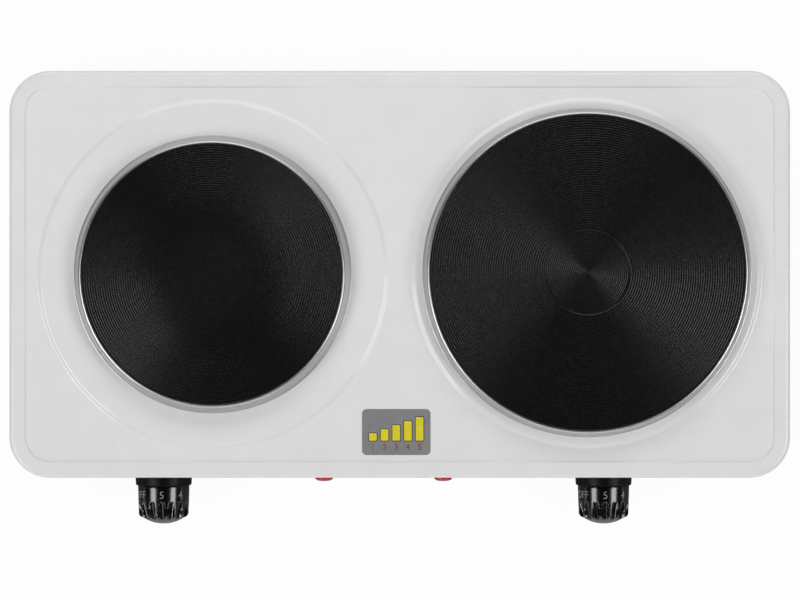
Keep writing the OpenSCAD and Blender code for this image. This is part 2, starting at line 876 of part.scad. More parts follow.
// The knob's outer skin as points from the back edge over the rounded shoulder and domed face to the tip;
// inset gives the skin's inner side
function knob_skin(back_z, inset) =
    let (face_z = shoulder_z + shoulder_h, dome_h = knob_tip_z - face_z)
        concat(
            [[knob_back_r - inset, back_z], [knob_front_r - inset, shoulder_z - inset]],
            [for (i = [1:4]) let (a = 90 * i / 4, r = knob_front_r - face_r)
                [face_r - inset + r * cos(a), shoulder_z - inset + shoulder_h * sin(a)]],
            [for (i = [1:6]) let (s = 1 - i / 6)
                [(face_r - inset) * s, face_z - inset + dome_h * (1 - s * s)]]);

module knob(x) {
    back_z = bezel_t + knob_gap;
    boss_top = (shoulder_z + shoulder_h + knob_tip_z) / 2;
    color([0.06, 0.06, 0.065])
        on_front(x)
            difference() {
                union() {
                    difference() {
                        rotate_extrude()
                            polygon(concat([[0, back_z]], knob_skin(back_z, 0)));
                        rotate_extrude()
                            polygon(concat([[0, back_z - cut]], knob_skin(back_z - cut, knob_wall)));
                        flutes(back_z);
                    }
                    translate([0, 0, back_z])
                        cylinder(h = boss_top - back_z, r = knob_boss_r, $fn = 48);
                }
                shaft_bore(back_z);
            }
}

// Finger flutes: round-bottomed grooves that lean inwards, from nothing on the barrel to the shoulder
module flutes(back_z) {
    share = (flute_start - back_z) / (shoulder_z - back_z);
    barrel_r = knob_back_r + (knob_front_r - knob_back_r) * share;
    run_in = 2;
    for (i = [0:flute_count - 1])
        rotate([0, 0, 360 * i / flute_count])
            translate([barrel_r + flute_r / cos(flute_lean), 0, flute_start])
                rotate([0, -flute_lean, 0])
                    translate([0, 0, -run_in])
                        cylinder(h = knob_tip_z - flute_start + run_in, r = flute_r, $fn = 32);
}

// The D-shaped bore in the knob's boss
module shaft_bore(back_z) {
    depth = shoulder_z - 3.5 - back_z;
    intersection() {
        translate([0, 0, back_z - cut])
            cylinder(h = depth + cut, r = shaft_r + shaft_clearance, $fn = 64);
        translate([-shaft_r - cut, -shaft_r - cut, back_z - cut])
            cube([shaft_r + cut + clip_wall(), 2 * (shaft_r + cut), depth + cut]);
    }
}

function clip_wall() = flat_offset + 0.6;

module knob_shaft(x) {
    tip_z = shoulder_z - 4;
    back_z = -ceramic_back + 8;
    color([0.7, 0.69, 0.64])
        on_front(x) {
            difference() {
                translate([0, 0, back_z])
                    cylinder(h = tip_z - back_z, r = shaft_r, $fn = 64);
                translate([flat_offset, -shaft_r - cut, bezel_t])
                    cube([shaft_r, 2 * (shaft_r + cut), tip_z]);
            }
            translate([0, 0, -bush_back - (cam_space - cam_t) / 2 - cam_t]) {
                difference() {
                    cylinder(h = cam_t, r = cam_r);
                    translate([0, 0, -cut])
                        cylinder(h = cam_t + 2 * cut, r = shaft_r, $fn = 64);
                }
                rotate_extrude(angle = nose_angle)
                    translate([cam_r, 0])
                        square([nose_r - cam_r, cam_t]);
            }
        }
}

// The leaf spring between the shaft's flat and the knob
module knob_clip(x) {
    leaf_t = 0.3;
    color([0.75, 0.75, 0.76])
        on_front(x)
            translate([flat_offset + 0.12, -1.1, bezel_t + 3])
                cube([leaf_t, 2.2, shoulder_z - 6 - bezel_t - 3]);
}

// The flange between knob and casing, hollow over the screw heads, with two pegs into the wall
module knob_bezel(x) {
    bore = knob_boss_r + 0.5;
    hollow_z = bezel_t - 1.6;
    bezel_edge = 0.4;
    color([0.1, 0.1, 0.105])
        on_front(x) {
            rotate_extrude()
                polygon([
                    [bore, 0], [bore + bezel_wall, 0], [bore + bezel_wall, hollow_z],
                    [bezel_r - bezel_wall, hollow_z], [bezel_r - bezel_wall, 0], [bezel_r, 0],
                    [bezel_r - bezel_draft, bezel_t - bezel_edge],
                    [bezel_r - bezel_draft - bezel_edge, bezel_t], [bore, bezel_t]
                ]);
            for (side = [-1, 1])
                translate([0, side * screw_reach, -sheet_t])
                    cylinder(h = sheet_t + hollow_z, r = peg_r(), $fn = 32);
        }
}

// ---------------------------------------------------------------- thermostats

// A bent steel bracket: a tapped plate behind the wall, and two arms that hold the ceramic body
module thermostat_bracket(x) {
    plate_w = 2 * screw_reach + 10;
    half_h = ceramic_h / 2 + bracket_t;
    color([0.66, 0.66, 0.64])
        on_front(x)
            difference() {
                union() {
                    translate([-plate_w / 2, -half_h, -bracket_back])
                        cube([plate_w, 2 * half_h, bracket_t]);
                    for (z = [-half_h, ceramic_h / 2])
                        translate([-7, z, -ceramic_back])
                            cube([14, bracket_t, ceramic_back - sheet_t]);
                }
                translate([0, 0, -bracket_back - cut])
                    cylinder(h = bracket_t + 2 * cut, r = bush_r + 2 * touch, $fn = 48);
                for (side = [-1, 1])
                    translate([side * screw_reach, 0, -bracket_back - cut])
                        cylinder(h = bracket_t + 2 * cut, r = screw_r + touch, $fn = 32);
                for (side = [-1, 1])
                    translate([0, side * screw_reach, -bracket_back - cut])
                        cylinder(h = bracket_t + 2 * cut, r = peg_r() + seat, $fn = 32);
            }
}

// The ceramic body, with a bore for the shaft's end and the stop for the cam's nose
module thermostat_body(x) {
    stop_angle = 360 - turn_angle - nose_angle - 4;
    stop_root = 0.4;
    color([0.9, 0.88, 0.83])
        on_front(x) {
            difference() {
                translate([-ceramic_w / 2, -ceramic_h / 2, -ceramic_back])
                    cube([ceramic_w, ceramic_h, ceramic_d]);
                translate([0, 0, -ceramic_back + 6])
                    cylinder(h = ceramic_d, r = shaft_r + 0.2, $fn = 48);
            }
            rotate([0, 0, -2 - stop_angle])
                translate([0, 0, -ceramic_front - stop_root])
                    rotate_extrude(angle = stop_angle)
                        translate([cam_r + seat, 0])
                            square([nose_r - cam_r - seat, cam_space - 0.6 + stop_root]);
        }
}

// The brass bush that carries the shaft through bracket and wall
module shaft_bush(x) {
    color([0.78, 0.64, 0.36])
        on_front(x)
            rotate_extrude()
                polygon([
                    [shaft_r + shaft_clearance, -bush_back],
                    [bush_r + 2, -bush_back], [bush_r + 2, -bracket_back],
                    [bush_r, -bracket_back], [bush_r, 2],
                    [shaft_r + shaft_clearance, 2]
                ]);
}

// The blades at the ceramic body's side: a front and a rear tab round a spacer; side is 1 or -1
module contact_blades(x, side) {
    spacer_l = 5;
    spacer_z = rear_blade_z + blade_t;
    color([0.76, 0.6, 0.42])
        on_front(x)
            for (z = [front_blade_z, rear_blade_z])
                translate([side * (ceramic_w / 2 + blade_reach / 2), 0, z + blade_t / 2])
                    cube([blade_reach, blade_w, blade_t], center = true);
    color([0.76, 0.6, 0.42])
        on_front(x)
            translate([side * (ceramic_w / 2 + spacer_l / 2), 0, (spacer_z + front_blade_z) / 2])
                cube([spacer_l, blade_w, front_blade_z - spacer_z], center = true);
}

module thermostat_screws() {
    color([0.7, 0.7, 0.68])
        for (x = [left_knob_x, right_knob_x])
            for (side = [-1, 1])
                on_front(x)
                    translate([side * screw_reach, 0, 0])
                        rotate([180, 0, 0])
                            screw(screw_r, bracket_back + 1, screw_head_r - 0.4, screw_head_h);
}

// ---------------------------------------------------------------- lamps

// A domed lens with a hollow tail that snaps through the wall
module lamp_lens(x) {
    dome = [for (i = [0:5]) let (a = 90 * i / 5) [lens_r * cos(a), 1 + (lens_z - 1) * sin(a)]];
    color([0.75, 0.04, 0.05])
        on_front(x)
            rotate_extrude()
                polygon(concat(
                    [[lens_tail_r - lens_wall, -lens_tail_l], [lens_tail_r, -lens_tail_l],
                     [lens_tail_r, 0], [lens_r, 0]],
                    dome,
                    [[0, lens_z - 1.2], [lens_tail_r - lens_wall, 0]]));
}

// A neon bulb that lies inside the lens's tail and the holder
module lamp_bulb(x) {
    color([0.95, 0.75, 0.6])
        on_front(x)
            translate([0, 0, -holder_back + holder_wall])
                rotate_extrude()
                    polygon([
                        [0, 0], [bulb_r, 0], [bulb_r, bulb_l - 2], [bulb_r * 0.7, bulb_l - 0.6], [0, bulb_l]
                    ]);
}

// The black cup that closes a lamp from behind
module lamp_holder(x) {
    inner = lens_tail_r + 0.1;
    color([0.1, 0.1, 0.1])
        on_front(x)
            rotate_extrude()
                polygon([
                    [0, -holder_back], [inner + holder_wall, -holder_back],
                    [inner + holder_wall, -sheet_t - 2.4], [inner, -sheet_t - 2.4],
                    [inner, -holder_back + holder_wall], [0, -holder_back + holder_wall]
                ]);
}

// Spring washers that hold the lenses against the wall from behind
module lamp_clips() {
    color([0.75, 0.75, 0.76])
        for (x = [left_lamp_x, right_lamp_x])
            on_front(x)
                translate([0, 0, -sheet_t - 0.5])
                    difference() {
                        cylinder(h = 0.5, r = lens_tail_r + 4);
                        translate([0, 0, -cut])
                            cylinder(h = 0.5 + 2 * cut, r = lens_tail_r + 0.05);
                    }
}

// ---------------------------------------------------------------- mains side

// The inlet bush in the rear wall: outer collar, tube, and a snap ring behind the wall
module cord_gland() {
    tube = gland_tube_r();
    color([0.08, 0.08, 0.08])
        on_rear()
            rotate_extrude()
                polygon([
                    [cord_bore_r, -gland_inside], [tube, -gland_inside],
                    [tube, -sheet_t - 2.2], [tube + 0.9, -sheet_t - 2], [tube + 0.9, -sheet_t - 0.1],
                    [tube, -sheet_t - 0.1], [tube, 0], [gland_r, 0],
                    [gland_r - 0.6, gland_z], [cord_bore_r, gland_z]
                ]);
}

// A four-pole screw terminal on the base sheet
module mains_terminal_block() {
    color([0.9, 0.9, 0.87])
        translate([mains_x, mains_y, base_top])
            difference() {
                translate([-mains_w / 2, -mains_d / 2, 0])
                    cube([mains_w, mains_d, mains_h]);
                for (i = [0:poles - 1])
                    translate([(i - (poles - 1) / 2) * pole_pitch, 0, 0]) {
                        translate([0, mains_d / 2 + cut, pole_z - base_top])
                            rotate([90, 0, 0])
                                cylinder(h = mains_d + 2 * cut, r = pole_r, $fn = 32);
                        for (side = [-1, 1])
                            translate([0, side * mains_d / 4, pole_z - base_top])
                                cylinder(h = mains_h, r = 2.2, $fn = 32);
                    }
            }
}

module terminal_screws() {
    color([0.78, 0.64, 0.36])
        for (i = [0:poles - 1])
            for (side = [-1, 1])
                translate([pole_at(i)[0], mains_y + side * mains_d / 4, pole_z + lead_r + 0.1])
                    cylinder(h = 5, r = 1.9, $fn = 32);
}

// The earth screw, from below through the base sheet, with its nut
module earth_screw() {
    color([0.78, 0.64, 0.36])
        translate([earth_x, earth_y, base_z]) {
            screw(screw_r, base_t + 7, screw_head_r, screw_head_h);
            translate([0, 0, base_t])
                cylinder(h = earth_nut_h, r = 3.6, $fn = 6);
        }
}

// The sheet wall between the plates and the controls, standing on a bent foot
module heat_shield() {
    color([0.78, 0.78, 0.79])
        translate([-controls_left - shield_w / 2, shield_y, base_top])
            difference() {
                union() {
                    cube([shield_w, shield_t, shield_top - base_top]);
                    cube([shield_w, 12, shield_t]);
                }
                for (x = [left_wire_x, pole_at(0)[0], pole_at(3)[0], right_wire_x])
                    translate([x + controls_left + shield_w / 2, -cut, wire_z - base_top])
                        rotate([-90, 0, 0])
                            cylinder(h = shield_t + 2 * cut, r = wire_hole_r, $fn = 48);
            }
}

// ---------------------------------------------------------------- leads

// Where leads pass the heat shield, and where they lie on the base sheet
left_wire_x = left_knob_x + 52;
right_wire_x = right_knob_x - 52;
wire_z = base_top + 16;
floor_z = base_top + lead_r + seat;
// How far a lead runs straight out of its fixing, how wide it swings after that, and how far
// from the shield it starts to rise or fall
lead_out = 3.4;
lead_swing = 14;
shield_clear = 8;

// Tip of a thermostat's blade, and a place on the blade's rear face
function tab_tip(x, side, blade_z) =
    [x + side * (ceramic_w / 2 + blade_reach + touch), front_y - blade_z - blade_t / 2, control_z];
function tab_face(x, side, blade_z) =
    [x + side * (ceramic_w / 2 + blade_reach - 3), front_y - blade_z + touch, control_z];
// Lower end of a plate's connection pin; which is 1 or -1
function pin_at(place, plate_r, turn, which) =
    [place[0] + tail_x_of(plate_r) * cos(turn) - which * tail_y() * sin(turn),
     place[1] + tail_x_of(plate_r) * sin(turn) + which * tail_y() * cos(turn),
     pin_z - touch];
// Mouth of a pole of the mains terminal block, on its front side
function pole_at(i) = [mains_x + (i - (poles - 1) / 2) * pole_pitch, mains_y - mains_d / 2, pole_z];
// A lead's way from inside a pole down to the base sheet and up to the shield's hole in front
// of it, shifted sideways by dx
function pole_way(i, dx) =
    let (from = pole_at(i) + [dx, 0, 0])
        [from + [0, 5, 0], from - [0, shield_clear, 0],
         [from[0], from[1] - lead_swing, floor_z], [from[0], shield_y + 3 * shield_clear, floor_z],
         [from[0], shield_y + 1.5 * shield_clear, wire_z], [from[0], shield_y - shield_clear, wire_z]];

module live_leads() {
    left = tab_tip(left_knob_x, 1, rear_blade_z);
    left_link = tab_face(left_knob_x, 1, rear_blade_z);
    right_link = tab_face(right_knob_x, -1, rear_blade_z);
    out = [0, lead_out, 0];
    rise = [3, 2 * lead_out, 6];
    color([0.35, 0.2, 0.12]) {
        lead(concat(pole_way(0, 0),
                    [left + [lead_swing, 0, -3], left + [lead_out, 0, 0], left]), lead_r);
        lead([left_link, left_link + out, left_link + rise, right_link + [-rise[0], rise[1], rise[2]],
              right_link + out, right_link], lead_r);
    }
}

module switched_leads() {
    left = tab_tip(left_knob_x, 1, front_blade_z);
    right = tab_tip(right_knob_x, -1, front_blade_z);
    before = shield_y - shield_clear;
    behind = shield_y + shield_clear;
    small_pin = pin_at(small_place, small_r, small_terminal_turn, -1);
    large_pin = pin_at(large_place, large_r, large_terminal_turn, -1);
    color([0.85, 0.85, 0.82]) {
        lead([left, left + [lead_out, 0, 0], left + [2 * lead_out, 0, -4],
              [left_wire_x, before, wire_z], [left_wire_x, behind, wire_z],
              small_pin - [0, 0, shield_clear], small_pin], lead_r);
        lead([right, right - [lead_out, 0, 0], right - [2 * lead_out, 0, 4],
              [right_wire_x, before, wire_z], [right_wire_x, behind, wire_z],
              large_pin - [0, 0, shield_clear], large_pin], lead_r);
    }
}

module neutral_leads() {
    start = pole_at(2);
    small_pin = pin_at(small_place, small_r, small_terminal_turn, 1);
    large_pin = pin_at(large_place, large_r, large_terminal_turn, 1);
    drop = 2 * lead_out;
    beside = large_pin + [0, -tail_r - lead_r - touch, 2];
    color([0.15, 0.3, 0.65]) {
        lead([start + [0, 5, 0], start - [0, shield_clear, 0],
              start + [shield_clear, -1.5 * lead_swing, 0.5 * lead_swing],
              large_pin + [0, 2 * lead_swing, -1.5 * drop], large_pin - [0, 0, 1.5 * drop],
              large_pin], lead_r);
        lead([small_pin, small_pin - [0, 0, drop], small_pin + [1.5 * lead_swing, lead_swing, -drop],
              large_pin - [1.7 * lead_swing, lead_swing, drop], beside - [0, 0, drop], beside], lead_r);
    }
}

module lamp_leads() {
    r = 0.7 * lead_r;
    back_y = front_y + holder_back + touch;
    half_gap = 2.4;
    color([0.75, 0.7, 0.3])
        for (side = [-1, 1]) {
            x = side < 0 ? left_lamp_x : right_lamp_x;
            knob_x = side < 0 ? left_knob_x : right_knob_x;
            tab = tab_face(knob_x, -side, front_blade_z);
            way = pole_way(3, side);
            low = -3 * lead_out;
            lead([[x, back_y, control_z - half_gap], [x, back_y + lead_out, control_z - half_gap],
                  [x, back_y + lead_out, control_z + low], tab + [-side * lead_swing, 0, low],
                  tab + [0, lead_out, -2 * lead_out], tab + [0, lead_out, 0], tab], r);
            lead(concat([[x, back_y, control_z + half_gap], [x, back_y + lead_out, control_z + half_gap]],
                        [for (i = [len(way) - 1:-1:0]) way[i]]), r);
        }
}

module earth_lead() {
    start = pole_at(1) + [0, mains_d, 0];
    nut_top = base_top + earth_nut_h + lead_r + seat;
    color([0.45, 0.65, 0.15])
        lead([start - [0, 5, 0], start + [0, 7, 0], [earth_x, start[1] + 7, pole_z],
              [earth_x, earth_y + 8, nut_top], [earth_x, earth_y + screw_r + touch, nut_top]], lead_r);
}

// ---------------------------------------------------------------- sticker

module heat_level_label() {
    color([0.5, 0.5, 0.5])
        translate([-sticker_left, front_y + sticker_inset, panel_z])
            round_sheet(sticker_w, sticker_d, sticker_r, sticker_t);
}

// ---------------------------------------------------------------- drawing

top_shell();
base_cover();
base_screws();
foot(-foot_x, -foot_y);  // front_left_foot
foot(foot_x, -foot_y);  // front_right_foot
foot(-foot_x, foot_y);  // rear_left_foot
foot(foot_x, foot_y);  // rear_right_foot
foot_screws();
plate(small_place, small_r, small_dish_r, small_dish_depth);  // small_plate
plate(large_place, large_r, large_dish_r, large_dish_depth);  // large_plate
overflow_ring(small_place, small_r, small_ring_w);  // small_plate_ring
overflow_ring(large_place, large_r, large_ring_w);  // large_plate_ring
heating_coil(small_place, small_r, small_coil_rings, small_terminal_turn);  // small_heating_coil
heating_coil(large_place, large_r, large_coil_rings, large_terminal_turn);  // large_heating_coil
coil_bed(small_place, small_r, small_terminal_turn);  // small_coil_bed
coil_bed(large_place, large_r, large_terminal_turn);  // large_coil_bed
coil_cover(small_place, small_r, small_terminal_turn);  // small_coil_cover
coil_cover(large_place, large_r, large_terminal_turn);  // large_coil_cover
terminal_block(small_place, small_r, small_terminal_turn);  // small_terminal_block
terminal_block(large_place, large_r, large_terminal_turn);  // large_terminal_block
plate_stud(small_place);  // small_plate_stud
plate_stud(large_place);  // large_plate_stud
clamp_bridge(small_place, small_r);  // small_clamp_bridge
clamp_bridge(large_place, large_r);  // large_clamp_bridge
clamp_nuts();
knob(left_knob_x);  // left_knob
knob(right_knob_x);  // right_knob
knob_shaft(left_knob_x);  // left_knob_shaft
knob_shaft(right_knob_x);  // right_knob_shaft
knob_clip(left_knob_x);  // left_knob_clip
knob_clip(right_knob_x);  // right_knob_clip
knob_bezel(left_knob_x);  // left_knob_bezel
knob_bezel(right_knob_x);  // right_knob_bezel
thermostat_bracket(left_knob_x);  // left_thermostat_bracket
thermostat_bracket(right_knob_x);  // right_thermostat_bracket
thermostat_body(left_knob_x);  // left_thermostat_body
thermostat_body(right_knob_x);  // right_thermostat_body
shaft_bush(left_knob_x);  // left_shaft_bush
shaft_bush(right_knob_x);  // right_shaft_bush
contact_blades(left_knob_x, 1);  // left_contact_blades
contact_blades(right_knob_x, -1);  // right_contact_blades
thermostat_screws();
lamp_lens(left_lamp_x);  // left_lamp_lens
lamp_lens(right_lamp_x);  // right_lamp_lens
lamp_bulb(left_lamp_x);  // left_lamp_bulb
lamp_bulb(right_lamp_x);  // right_lamp_bulb
lamp_holder(left_lamp_x);  // left_lamp_holder
lamp_holder(right_lamp_x);  // right_lamp_holder
lamp_clips();
cord_gland();
mains_terminal_block();
terminal_screws();
earth_screw();
heat_shield();
live_leads();
switched_leads();
neutral_leads();
lamp_leads();
earth_lead();
heat_level_label();
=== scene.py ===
# %% [markdown]
# # A table-top hot plate with two cast iron plates
# The real object is a flat white enamelled steel box. Two black iron plates stand a little proud
# of it, each in a pressed steel ring, and two dials and two red lamps sit on its front wall.
# The construction comes in as a frame that is fixed: every piece below is built round it, in
# metres, with X to the right along the casing, Y to the rear and Z up from the table.

import json
from math import acos, atan2, cos, degrees, hypot, pi, radians, sin, sqrt, tan

import bmesh
import bpy
import numpy as np
from mathutils import Matrix, Vector
from mathutils.geometry import delaunay_2d_cdt


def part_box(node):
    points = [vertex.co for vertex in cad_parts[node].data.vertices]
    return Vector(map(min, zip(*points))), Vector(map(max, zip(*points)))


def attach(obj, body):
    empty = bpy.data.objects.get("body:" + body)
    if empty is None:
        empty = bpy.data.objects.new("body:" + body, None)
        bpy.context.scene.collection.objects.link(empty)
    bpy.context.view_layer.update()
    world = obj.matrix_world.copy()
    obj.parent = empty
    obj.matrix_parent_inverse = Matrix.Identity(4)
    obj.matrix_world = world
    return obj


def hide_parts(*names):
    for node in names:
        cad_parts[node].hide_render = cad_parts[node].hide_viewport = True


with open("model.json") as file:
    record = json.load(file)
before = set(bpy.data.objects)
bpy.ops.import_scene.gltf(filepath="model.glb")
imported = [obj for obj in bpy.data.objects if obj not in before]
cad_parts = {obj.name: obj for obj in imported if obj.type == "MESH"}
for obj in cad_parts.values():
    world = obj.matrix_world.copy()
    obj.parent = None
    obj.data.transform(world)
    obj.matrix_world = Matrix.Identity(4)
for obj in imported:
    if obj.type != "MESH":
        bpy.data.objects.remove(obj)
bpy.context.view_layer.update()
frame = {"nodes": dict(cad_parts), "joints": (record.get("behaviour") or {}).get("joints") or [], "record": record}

# %% [markdown]
# ## Sizes
# A maker reads the big sizes off the finished frame, so that the pieces can't drift away from
# what carries them: the casing from its own box, the plates from theirs, the dials from their
# turning axes. Only what a box doesn't show, such as the width of the rim, is written here.

# %% Sizes that the frame gives
MM = 0.001


def middle(node):
    """Middle of a node's box."""
    low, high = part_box(node)
    return (low + high) / 2


casing_low, casing_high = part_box("top_shell")
casing_w = casing_high.x - casing_low.x
casing_d = casing_high.y - casing_low.y
casing_middle = middle("top_shell")
front_y, rear_y = casing_low.y, casing_high.y
base_z, plateau_z = casing_low.z, casing_high.z
plate_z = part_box("large_plate")[1].z
dial_axis = {joint["child"]: Vector(joint["pos_m"]) for joint in frame["joints"]}
plates = {}
for side in ("small", "large"):
    low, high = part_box(f"{side}_plate")
    plates[side] = {"at": middle(f"{side}_plate"), "radius": (high.x - low.x) / 2}
print("casing", round(casing_w, 4), "x", round(casing_d, 4), "top at", round(plateau_z, 4))
print("plates", {side: round(plate["radius"], 4) for side, plate in plates.items()})

# %% Sizes of the pressings, which no box shows
sheet = 1.0 * MM
corner_r = 24.5 * MM
roll_r = 3.0 * MM
rim_w = 9.0 * MM
step_w = 1.5 * MM
rim_bend = 0.15
panel_drop = 1.1 * MM
flange_w = 11.0 * MM
seat = 0.3 * MM
plateau_r = 106.0 * MM
plateau_step = 4.2 * MM
plateau_bend = 0.42
plateau_rise = 1.4 * MM
panel_z = plateau_z - plateau_rise
rim_z = panel_z + panel_drop

# %% [markdown]
# ## Helpers for making meshes
# Most pieces are turned, pressed or moulded. A turned piece is an outline carried round an axis,
# so one helper rounds the outline's corners and another turns it. Everything ends as a plain mesh
# in its own place, with its object at the origin, because patterns and the frame both count on it.

# %% Helpers: a piece from points, and a tidy mesh
def in_scene(name, data):
    """An object that shows data, at the origin."""
    made = bpy.data.objects.new(name, data)
    bpy.context.scene.collection.objects.link(made)
    return made


def piece_from(name, points, faces, place=None):
    """A mesh object from points and faces; place is a matrix that is worked into the points."""
    mesh = bpy.data.meshes.new(name)
    mesh.from_pydata([tuple(point) for point in points], [], faces)
    if place is not None:
        mesh.transform(place)
    return in_scene(name, mesh)


def tidy(piece, crease=32, merge=2e-6):
    """Closes seams and poles, turns faces outwards, and keeps edges sharper than crease degrees."""
    work = bmesh.new()
    work.from_mesh(piece.data)
    bmesh.ops.remove_doubles(work, verts=work.verts, dist=merge)
    bmesh.ops.dissolve_degenerate(work, dist=merge / 2, edges=work.edges)
    bmesh.ops.recalc_face_normals(work, faces=work.faces)
    work.to_mesh(piece.data)
    work.free()
    piece.data.shade_smooth()
    piece.data.set_sharp_from_angle(angle=radians(crease))
    return piece


def join(pieces, name):
    """Several mesh objects made into one."""
    with bpy.context.temp_override(active_object=pieces[0], selected_editable_objects=pieces):
        bpy.ops.object.join()
    pieces[0].name = pieces[0].data.name = name
    return pieces[0]


# %% Helpers: rounded outlines and turned pieces
def rounded(corners, steps=4):
    """Outline of (radius, height, rounding) corners, each rounded off by a short curve."""
    outline = []
    count = len(corners)
    for i, (r, z, rounding) in enumerate(corners):
        here = Vector((r, z))
        if rounding <= 0:
            outline.append(here)
            continue
        back = Vector(corners[i - 1][:2]) - here
        on = Vector(corners[(i + 1) % count][:2]) - here
        half_turn = (pi - back.angle(on)) / 2
        reach = min(rounding * tan(half_turn), 0.48 * back.length, 0.48 * on.length)
        start, end = here + back.normalized() * reach, here + on.normalized() * reach
        for k in range(steps + 1):
            t = k / steps
            outline.append(start * (1 - t) ** 2 + here * 2 * t * (1 - t) + end * t ** 2)
    return outline


def band(start, end, count):
    """Faces between two loops of points, from the numbers that their first points have."""
    return [(start + k, start + (k + 1) % count, end + (k + 1) % count, end + k)
            for k in range(count)]


def turned(name, outline, place, spokes=96, closed=True):
    """An outline of (radius, height) turned round local Z, then put in its place."""
    angles = np.linspace(0, 2 * pi, spokes, endpoint=False)
    points = [(r * cos(a), r * sin(a), z) for r, z in outline for a in angles]
    faces = []
    for i in range(len(outline) if closed else len(outline) - 1):
        j = (i + 1) % len(outline)
        if outline[i][0] > 1e-7 or outline[j][0] > 1e-7:
            faces += band(j * spokes, i * spokes, spokes)
    return tidy(piece_from(name, points, faces, place))


def dress(piece, finish, body="casing", node_name=None):
    """Gives a piece a finish if one is passed, hides the node it stands for, and hangs it on its body."""
    if finish:
        piece.data.materials.append(finish)
    if node_name:
        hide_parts(node_name)
    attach(piece, body)


# %% Helpers: places on the casing
def on_front(x, z):
    """Local Z points out of the front wall, local Y up."""
    return Matrix(((1, 0, 0, x), (0, 0, -1, front_y), (0, 1, 0, z), (0, 0, 0, 1)))


def on_rear(x, z):
    """Local Z points out of the rear wall, local Y up."""
    return Matrix(((-1, 0, 0, x), (0, 0, 1, rear_y), (0, 1, 0, z), (0, 0, 0, 1)))


def cut_with(piece, cutters):
    """Cuts the cutters out of a piece."""
    cutter = join(cutters, "cutter")
    modifier = piece.modifiers.new("cut", "BOOLEAN")
    modifier.object = cutter
    modifier.solver = "EXACT"
    bake_modifiers(piece)
    bpy.data.objects.remove(cutter)


def bake_modifiers(piece):
    """Works a piece's modifiers into its mesh."""
    bpy.context.view_layer.update()
    evaluated = piece.evaluated_get(bpy.context.evaluated_depsgraph_get())
    mesh = bpy.data.meshes.new_from_object(evaluated)
    piece.modifiers.clear()
    piece.data = mesh
    mesh.name = piece.name


def rod(at, along, length, radius, sides=48):
    """A straight round rod, for cutting holes: from at, along a direction."""
    turn = Vector((0, 0, 1)).rotation_difference(Vector(along)).to_matrix().to_4x4()
    outline = [(0, 0), (radius, 0), (radius, length), (0, length)]
    return turned("rod", outline, Matrix.Translation(at) @ turn, sides)

# %% [markdown]
# ## Node sums as formulas
# Both the shader trees and the shape trees below are full of small sums. A value that travels
# through a tree is wrapped, so that a sum can be written as a line of arithmetic and still ends up
# as ordinary Math nodes, which work in both kinds of tree.

# %% A value on its way through a node tree
class Wire:
    """One value on its way through a node tree; + - * / and the methods below add Math nodes."""

    def __init__(self, tree, source):
        self.tree, self.source = tree, source

    def math(self, operation, *others, clamp=False):
        node = self.tree.nodes.new("ShaderNodeMath")
        node.operation, node.use_clamp = operation, clamp
        for socket, value in zip(node.inputs, (self, *others)):
            feed(self.tree, value, socket)
        return Wire(self.tree, node.outputs[0])

    def __add__(self, other):
        return self.math("ADD", other)

    def __sub__(self, other):
        return self.math("SUBTRACT", other)

    def __mul__(self, other):
        return self.math("MULTIPLY", other)

    def __truediv__(self, other):
        return self.math("DIVIDE", other)

    def between(self, low, high, start=0.0, end=1.0):
        """Runs smoothly from start to end while the value goes from low to high."""
        node = self.tree.nodes.new("ShaderNodeMapRange")
        node.interpolation_type = "SMOOTHSTEP"
        for name, value in (("Value", self), ("From Min", low), ("From Max", high),
                            ("To Min", start), ("To Max", end)):
            feed(self.tree, value, node.inputs[name])
        return Wire(self.tree, node.outputs["Result"])


def feed(tree, value, socket):
    """Joins a wire or a bare socket to a socket, or sets the socket to a plain value."""
    if isinstance(value, Wire):
        tree.links.new(value.source, socket)
    elif isinstance(value, bpy.types.NodeSocket):
        tree.links.new(value, socket)
    elif isinstance(value, (tuple, list)) and socket.type == "RGBA" and len(value) == 3:
        socket.default_value = (*value, 1)
    else:
        socket.default_value = value


def node(tree, kind, outlet=0, settings=None, **values):
    """Adds a node, feeds its named inputs, and gives back one output as a wire."""
    made = tree.nodes.new(kind)
    for key, value in (settings or {}).items():
        setattr(made, key, value)
    for key, value in values.items():
        feed(tree, value, made.inputs[key.replace("_", " ")])
    return Wire(tree, made.outputs[outlet])


def on_vectors(tree, operation, first, second=(0, 0, 0), outlet=0):
    """Works on one or two vectors, such as MULTIPLY, SUBTRACT or LENGTH."""
    made = tree.nodes.new("ShaderNodeVectorMath")
    made.operation = operation
    feed(tree, first, made.inputs[0])
    feed(tree, second, made.inputs[1])
    return Wire(tree, made.outputs[outlet])


def new_group(name, kind, inlets, outlets):
    """A node group with named sockets; gives back the tree, its input wires and its output node."""
    tree = bpy.data.node_groups.new(name, kind)
    for label, socket, default in inlets:
        made = tree.interface.new_socket(name=label, in_out="INPUT", socket_type=socket)
        if default is not None:
            made.default_value = default
    for label, socket in outlets:
        tree.interface.new_socket(name=label, in_out="OUTPUT", socket_type=socket)
    inside, outside = tree.nodes.new("NodeGroupInput"), tree.nodes.new("NodeGroupOutput")
    return tree, {s.name: Wire(tree, s) for s in inside.outputs if s.name}, outside


# %% [markdown]
# ## Effects that several finishes share
# A few effects turn up again and again: the fine grain of rolled or cast surfaces, the rings that a
# lathe tool leaves, dust that gathers on faces that look up, and small scuffs in a gloss. Each is
# one group with named inputs, placed in every finish that needs it with its own values.

# %% Effect: grain, an uneven patchiness at one size
FLOAT, COLOR, VECTOR = "NodeSocketFloat", "NodeSocketColor", "NodeSocketVector"


def object_place(tree):
    return node(tree, "ShaderNodeTexCoord", "Object")


